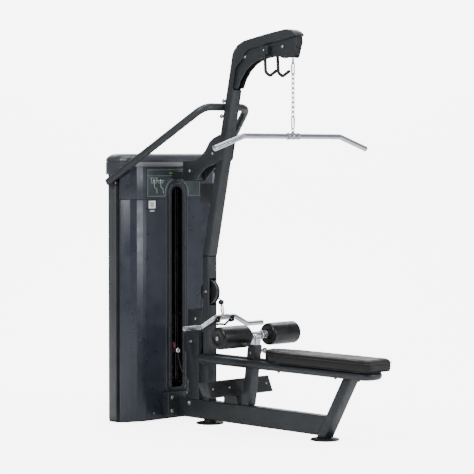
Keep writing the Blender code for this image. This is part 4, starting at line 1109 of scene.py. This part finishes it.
def build_hooks():
    for node, x in (("storage_hook_left", -0.0500), ("storage_hook_right", 0.0500)):
        sign = 1 if x > 0 else -1
        route = [(x, -0.5000, 2.1500), (x, -0.5000, 2.1300), (x, -0.5070, 2.020), (x, -0.5400, 1.997),
                 (x, -0.5900, 2.024)]
        hook = sweep(node + "_rod", fillet(route, 0.022, 10), 0.0090, RUBBER, 24)
        stand_for(hook, node)
        tip = [(0.0, 0.0090), (0.0050, 0.0078), (0.0092, 0.002), (0.0094, -0.010), (0.0, -0.010)]
        end = Vector(route[-1])
        matrix = aim(end, end - Vector(route[-2]))
        trim(solid_lathe(node + "_tip", tip, matrix, RUBBER, 24), "frame")
        block = [(-0.528, 2.120), (-0.470, 2.120), (-0.470, 2.1615), (-0.528, 2.1615)]
        low = min(sign * 0.0254, sign * 0.0600)
        high = max(sign * 0.0254, sign * 0.0600)
        saddle = prism(node + "_saddle", block, on_side, low, high, FRAME_PAINT, 0.0030, 3)
        trim(saddle, "frame")
        button_bolt(node + "_screw", (sign * 0.0600, -0.499, 2.141), (sign, 0, 0), 0.012, "frame")
    half = [(0.055, -0.1440, 0.6090), (0.055, -0.1200, 0.6020), (0.055, -0.0980, 0.6010),
            (0.055, -0.0700, 0.5780),
            (0.055, -0.0320, 0.5780)]
    route = half + [(-x, y, z) for x, y, z in half[::-1]]
    stand_for(sweep("row_rest_hooks", fillet(route, 0.010, 6), 0.0064, RUBBER, 18), "row_handle_hooks")
    for side, x in (("left", -0.055), ("right", 0.055)):
        arch = [(x, -0.1180 + 0.0212 * math.cos(math.radians(a)),
                 0.6280 + 0.0212 * math.sin(math.radians(a)))
                for a in range(-205, 26, 10)]
        trim(sweep("row_rest_clip_" + side, arch, 0.0064, RUBBER, 16), "frame")


# ---------------------------------------------------------------- seat
def build_rail():
    end_y = RAIL_END + RAIL_RADIUS
    z = RAIL_Z
    route = [(-RAIL_X, 0.027, z), (-RAIL_X, end_y, z), (RAIL_X, end_y, z), (RAIL_X, 0.027, z)]
    rail = sweep("seat_rail_tube", fillet(route, 0.056, 18), 0.0238, FRAME_PAINT, 32)
    stand_for(rail, "seat_rail")
    for y in (-0.62, -1.05, -1.22):
        for side, x in (("left", -RAIL_X), ("right", RAIL_X)):
            tab = [(x - 0.017, y - 0.022), (x + 0.017, y - 0.022), (x + 0.017, y + 0.022),
                   (x - 0.017, y + 0.022)]
            name = "seat_tab_%s_%d" % (side, int(-y * 100))
            trim(prism(name, tab, on_floor, 0.4000, 0.4042, FRAME_PAINT, 0.0010, 2), "frame")
            hex_bolt(name + "_bolt", (x, y, 0.3553), (0, 0, -1), 0.013, "frame", washer=0.7)


def pad_outline(grow):
    """Plan of the seat: rounded front, straight sides, tapered rear."""
    half = PAD_HALF + grow
    front = PAD_FRONT - grow
    rear = PAD_REAR + grow
    corner = 0.034
    points = arc_points((half - corner, front + corner), corner, 0, -90, 8)
    points += arc_points((-half + corner, front + corner), corner, -90, -180, 8)
    taper = [(-half, -0.660), (-0.081 - grow, -0.543), (-0.048 - grow, -0.492), (-0.018, rear)]
    points += taper + [(-x, y) for x, y in taper[::-1]]
    return points


def settle_cushion(obj, cap):
    """Inflates the pad as cloth, holds each point within cap of its start, and keeps the result."""
    remesh = obj.modifiers.new("voxels", "REMESH")
    remesh.mode = "VOXEL"
    remesh.voxel_size = 0.006
    bpy.context.view_layer.update()
    graph = bpy.context.evaluated_depsgraph_get()
    mesh = bpy.data.meshes.new_from_object(obj.evaluated_get(graph))
    obj.modifiers.clear()
    obj.data = mesh
    start = np.zeros(len(mesh.vertices) * 3)
    mesh.vertices.foreach_get("co", start)
    cloth = obj.modifiers.new("cloth", "CLOTH")
    cloth.settings.use_pressure = True
    cloth.settings.uniform_pressure_force = 4.0
    cloth.settings.quality = 6
    cloth.settings.tension_stiffness = 25.0
    cloth.settings.compression_stiffness = 25.0
    cloth.settings.bending_stiffness = 2.0
    cloth.settings.effector_weights.gravity = 0.0
    scene = bpy.context.scene
    for step in range(1, 21):
        scene.frame_set(step)
    graph = bpy.context.evaluated_depsgraph_get()
    swollen = np.zeros(len(start))
    obj.evaluated_get(graph).data.vertices.foreach_get("co", swollen)
    obj.modifiers.clear()
    scene.frame_set(1)
    move = (swollen - start).reshape(-1, 3)
    reach = np.maximum(np.linalg.norm(move, axis=1), 1e-9)
    move *= (np.minimum(reach, cap) / reach)[:, None]
    mesh.vertices.foreach_set("co", (start.reshape(-1, 3) + move).ravel())
    mesh.update()


def pinch_seams(obj, seam_z, low, high):
    """Draws the side in along the sewn seam and flattens the face that rests on the rail."""
    for vertex in obj.data.vertices:
        co = vertex.co
        if co.z < low:
            co.z = low
        if co.z > high:
            co.z = high - (co.z - high) * 0.1
        pull = math.exp(-((co.z - seam_z) / 0.0035) ** 2) * 0.0018
        if abs(co.x) > 0.06 or co.y < -1.25:
            co.x -= math.copysign(pull, co.x)
        if co.y < -1.29:
            co.y += pull
    obj.data.update()


def build_seat_pad():
    low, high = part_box("seat_pad")
    base = low.z
    top = high.z
    shrink = -0.0045
    outline = pad_outline(shrink)
    middle = Vector((0.0, -0.90, 0.0))
    levels = [(base + 0.002, 0.965), (base + 0.007, 0.992), (base + 0.020, 1.0), (top - 0.020, 1.0),
              (top - 0.011, 0.985), (top - 0.005, 0.955), (top - 0.0015, 0.86), (top + 0.001, 0.60)]
    bm = bmesh.new()
    rings = []
    for z, factor in levels:
        row = []
        for x, y in outline:
            along = middle.y + (y - middle.y) * (1 - (1 - factor) * 0.25)
            row.append((x * factor, along, z))
        rings.append(add_ring(bm, row))
    for first, second in zip(rings, rings[1:]):
        bridge(bm, first, second)
    bm.faces.new(rings[0][::-1])
    bm.faces.new(rings[-1])
    pad = mesh_from("seat_cushion", bm, VINYL)
    settle_cushion(pad, 0.006)
    pad.data.materials.clear()
    pad.data.materials.append(VINYL)
    pinch_seams(pad, top - 0.0165, base, top + 0.004)
    subdivision = pad.modifiers.new("smooth", "SUBSURF")
    subdivision.levels = 1
    subdivision.render_levels = 1
    pad.data.shade_smooth()
    stand_for(pad, "seat_pad")
    loop = [Vector((x, y, top - 0.0165)) for x, y in pad_outline(-0.0035)]
    loop = resample(loop + loop[:1], 0.006)[:-1]
    trim(sweep("seat_seam_cord", loop, 0.0016, PIPING, 10, True), "frame")
    board = [(x * 0.94, -0.90 + (y + 0.90) * 0.985) for x, y in pad_outline(-0.004)]
    trim(prism("seat_board", board, on_floor, base - 0.0002, base + 0.0035, DARK_BOARD_AND_PAINTED_SHADE, 0.0008, 2),
         "frame")


# ---------------------------------------------------------------- thigh rollers
def build_rollers():
    round_over = 0.0160
    for side in ("left", "right"):
        node = "roller_" + side
        low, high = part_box(node)
        centre = Vector(((low.x + high.x) / 2, ROLLER_AXIS[0], ROLLER_AXIS[1]))
        matrix = aim(centre, (1, 0, 0))
        half = (high.x - low.x) / 2
        body = NODES[node]["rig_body"]
        profile = []
        for sign in (-1, 1):
            rim = []
            for k in range(9):
                angle = math.radians(90 * k / 8)
                rim.append((ROLLER_RADIUS - round_over + round_over * math.sin(angle),
                            sign * (half - round_over + round_over * math.cos(angle))))
            dish = [(0.0260, sign * (half - 0.0030)), (0.0285, sign * (half - 0.0020)),
                    (0.0315, sign * half)]
            edge = dish + rim
            profile += edge if sign < 0 else edge[::-1]
        pad = lathe(node + "_foam", profile, matrix, ROLLER_SKIN, 96)
        stand_for(pad, node)
        for label, sign in (("outer", 1), ("inner", -1)):
            t = sign * (half - 0.0044)
            hub = [(0.0108, t), (0.0255, t), (0.0262, t + sign * 0.0015), (0.0240, t + sign * 0.0035),
                   (0.0150, t + sign * 0.0040), (0.0108, t + sign * 0.0042)]
            trim(lathe("%s_hub_%s" % (node, label), hub, matrix, BLACK_PLASTIC, 64), body)
    low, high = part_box("roller_post")
    for side, sign, x in (("left", -1, low.x), ("right", 1, high.x)):
        at = (x + sign * 0.0002, *ROLLER_AXIS)
        button_bolt("axle_screw_" + side, at, (sign, 0, 0), 0.0145, "thigh_post", CHROME)
        washer = [(0.0102, -0.0055), (0.0120, -0.0055), (0.0125, -0.0045), (0.0120, -0.0030),
                  (0.0102, -0.0030)]
        trim(lathe("axle_washer_" + side, washer, aim(at, (sign, 0, 0)), STEEL, 40), "thigh_post")
    for side, sign in (("left", -1), ("right", 1)):
        collar = [(0.0152, 0.0320), (0.0240, 0.0320), (0.0250, 0.0335), (0.0250, 0.0440), (0.0240, 0.0455),
                  (0.0152, 0.0455)]
        trim(lathe("axle_collar_" + side, collar, aim((0.0, *ROLLER_AXIS), (sign, 0, 0)), CHROME, 40),
             "thigh_post")
        disc = [(0.0152, 0.0720), (0.0215, 0.0720), (0.0225, 0.0732), (0.0225, 0.0765), (0.0215, 0.0775),
                (0.0152, 0.0775)]
        trim(lathe("axle_thrust_washer_" + side, disc, aim((0.0, *ROLLER_AXIS), (sign, 0, 0)), STEEL, 40),
             "thigh_post")


def build_pop_pin():
    low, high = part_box("pop_pin")
    y = (low.y + high.y) / 2
    z = (low.z + high.z) / 2
    matrix = aim((0.0, y, z), (1, 0, 0))
    start = low.x
    profile = [(0.0, start), (0.0040, start), (0.0048, start + 0.002), (0.0048, 0.0560), (0.0078, 0.0570),
               (0.0080, 0.0690), (0.0110, 0.0720), (0.0146, 0.0745), (0.0150, 0.0780), (0.0150, 0.0880),
               (0.0135, 0.0930), (0.0090, 0.0955), (0.0, high.x)]
    stand_for(solid_lathe("pop_pin_knob", profile, matrix, STEEL, 48), "pop_pin")
    barrel = [(0.0085, 0.0303), (0.0110, 0.0303), (0.0118, 0.0320), (0.0118, 0.0530), (0.0108, 0.0550),
              (0.0085, 0.0550)]
    trim(lathe("pop_pin_barrel", barrel, matrix, STEEL, 6), "frame")
    height = z - 0.008
    button_bolt("sleeve_screw", (-0.0302, -0.300 - 0.150 * height, height), (-1, 0, 0), 0.016, "frame")


# ---------------------------------------------------------------- footplate, base and fixings
def build_footplate_trim():
    """Ribbed rubber tread and its screws, laid on the sloping plate."""
    top = Vector((0.0, -0.222, 0.280))
    foot = Vector((0.0, -0.262, 0.192))
    down = (foot - top).normalized()
    out = Vector((0.0, down.z, -down.y))
    if out.y > 0:
        out = out * -1
    length = (foot - top).length
    low_x, high_x = -0.232, 0.246
    for k in range(9):
        start = top + down * (0.008 + (length - 0.020) * k / 8)
        rib = []
        for a, b in ((0.0, 0.0), (0.0052, 0.0), (0.0046, 0.0014), (0.0006, 0.0014)):
            point = start + down * a + out * (b + 0.0002)
            rib.append((point.y, point.z))
        trim(prism("tread_rib_%d" % (k + 1), rib, on_side, low_x, high_x, RUBBER, 0.0003, 1), "frame")
    for k, x in enumerate((-0.205, -0.075, 0.085, 0.220)):
        at = Vector((x, 0.0, 0.0)) + top + down * (length * 0.5) + out * 0.0016
        button_bolt("tread_screw_%d" % (k + 1), tuple(at), tuple(out), 0.013, "frame")


def weld_ring(wide, deep, height):
    """Eight points round the column, its corners cut off."""
    flat_x = 0.0300
    flat_y = 0.0200
    corners = [(-flat_x, -deep), (flat_x, -deep), (wide, -flat_y), (wide, flat_y)]
    corners += [(-x, -y) for x, y in corners]
    return [Vector((x, y, height)) for x, y in corners]


def build_base_fixings():
    hex_bolt("beam_bolt_left", (-0.0303, 0.145, 0.109), (-1, 0, 0), 0.019, "frame")
    hex_bolt("beam_bolt_right", (0.0303, 0.145, 0.109), (1, 0, 0), 0.019, "frame")
    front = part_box("t_crossmember")[0].y
    for x in (-0.080, 0.080):
        for z in (0.137, 0.058):
            hex_bolt("cross_bolt_%d_%d" % (x > 0, z > 0.1), (x, front - RISE, z), (0, -1, 0), 0.017,
                     "frame")
    weld = weld_ring(0.0355, 0.0255, 0.1368)
    trim(sweep("column_weld", weld, 0.0022, FRAME_PAINT, 10, True), "frame")
    joint = weld_ring(0.0350, 0.0250, 0.9753)
    trim(sweep("mast_weld", joint, 0.0014, FRAME_PAINT, 10, True), "frame")
    for x in (-0.30, 0.0, 0.30):
        for z in (0.08, 0.75, 1.42):
            button_bolt("rear_cover_screw_%d_%d" % (int(x * 10) + 3, int(z * 100)),
                        (x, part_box("rear_cover")[1].y, z),
                        (0, 1, 0), 0.009, "frame", BLACK_PLASTIC)


# ---------------------------------------------------------------- studio
PAPER_GLOW = 5.0


def build_studio():
    material, tree, shader = start_material("studio_paper", 0.9)
    vector = coordinates(tree)
    shade = shades(tree, noise(tree, vector, 0.7), [(0.3, (0.90, 0.905, 0.92)), (0.7, (0.93, 0.935, 0.95))])
    tree.links.new(shade, shader.inputs["Base Color"])
    seen = tree.nodes.new("ShaderNodeLightPath")
    glow = between(tree, seen.outputs["Is Camera Ray"], 0.0, PAPER_GLOW, 0.0, 1.0)
    tree.links.new(glow, shader.inputs["Emission Strength"])
    shader.inputs["Emission Color"].default_value = (1.0, 1.0, 1.0, 1.0)
    bm = bmesh.new()
    profile = [(-14.0, 0.0), (2.6, 0.0)]
    profile += [(2.6 + 1.2 * math.sin(math.radians(a)),
                 1.2 - 1.2 * math.cos(math.radians(a))) for a in range(10, 91, 10)]
    profile += [(3.8, 7.0)]
    turn = Matrix.Rotation(VIEW_TURN, 4, "Z")
    rows = []
    for x in (-12.0, 12.0):
        rows.append(add_ring(bm, [turn @ Vector((x, a, b - 0.0005)) for a, b in profile]))
    for i in range(len(profile) - 1):
        bm.faces.new((rows[0][i], rows[0][i + 1], rows[1][i + 1], rows[1][i]))
    material.cycles.emission_sampling = "NONE"
    paper = mesh_from("studio_floor", bm, material)


def add_light(name, location, target, size, power, colour=(1.0, 1.0, 1.0)):
    data = bpy.data.lights.new(name, "AREA")
    data.shape = "RECTANGLE"
    data.size = size[0]
    data.size_y = size[1]
    data.energy = power
    data.color = colour
    light = bpy.data.objects.new(name, data)
    light.location = location
    direction = Vector(target) - Vector(location)
    light.rotation_euler = direction.to_track_quat("-Z", "Y").to_euler()
    bpy.context.scene.collection.objects.link(light)


def build_lights():
    world = bpy.data.worlds.new("studio")
    world.use_nodes = True
    background = world.node_tree.nodes["Background"]
    background.inputs["Color"].default_value = (0.93, 0.95, 1.0, 1.0)
    background.inputs["Strength"].default_value = 0.50
    bpy.context.scene.world = world
    add_light("key", (-4.8, -1.8, 4.3), (0.0, -0.2, 1.3), (1.8, 1.8), 300.0)
    add_light("fill", (1.6, -5.2, 2.4), (0.0, -0.4, 0.9), (2.2, 2.4), 170.0, (0.94, 0.97, 1.0))
    add_light("top", (-0.4, -0.6, 5.2), (0.0, -0.3, 0.0), (3.0, 3.0), 150.0)
    add_light("backdrop", (2.2, 2.0, 4.4), (3.2, 3.3, 1.2), (5.0, 1.6), 200.0)


# ---------------------------------------------------------------- build everything
def main():
    build_lanyard()
    build_cables()
    build_frame_finish()
    build_feet()
    build_brace()
    build_mast_trim()
    build_shroud()
    build_bezel()
    build_cap()
    build_placard()
    build_labels()
    build_stack()
    build_rods()
    build_pin()
    build_pulleys()
    build_chain()
    build_lat_bar()
    build_row_handle()
    build_hooks()
    build_rail()
    build_seat_pad()
    build_rollers()
    build_pop_pin()
    build_footplate_trim()
    build_base_fixings()
    build_studio()
    build_lights()


main()
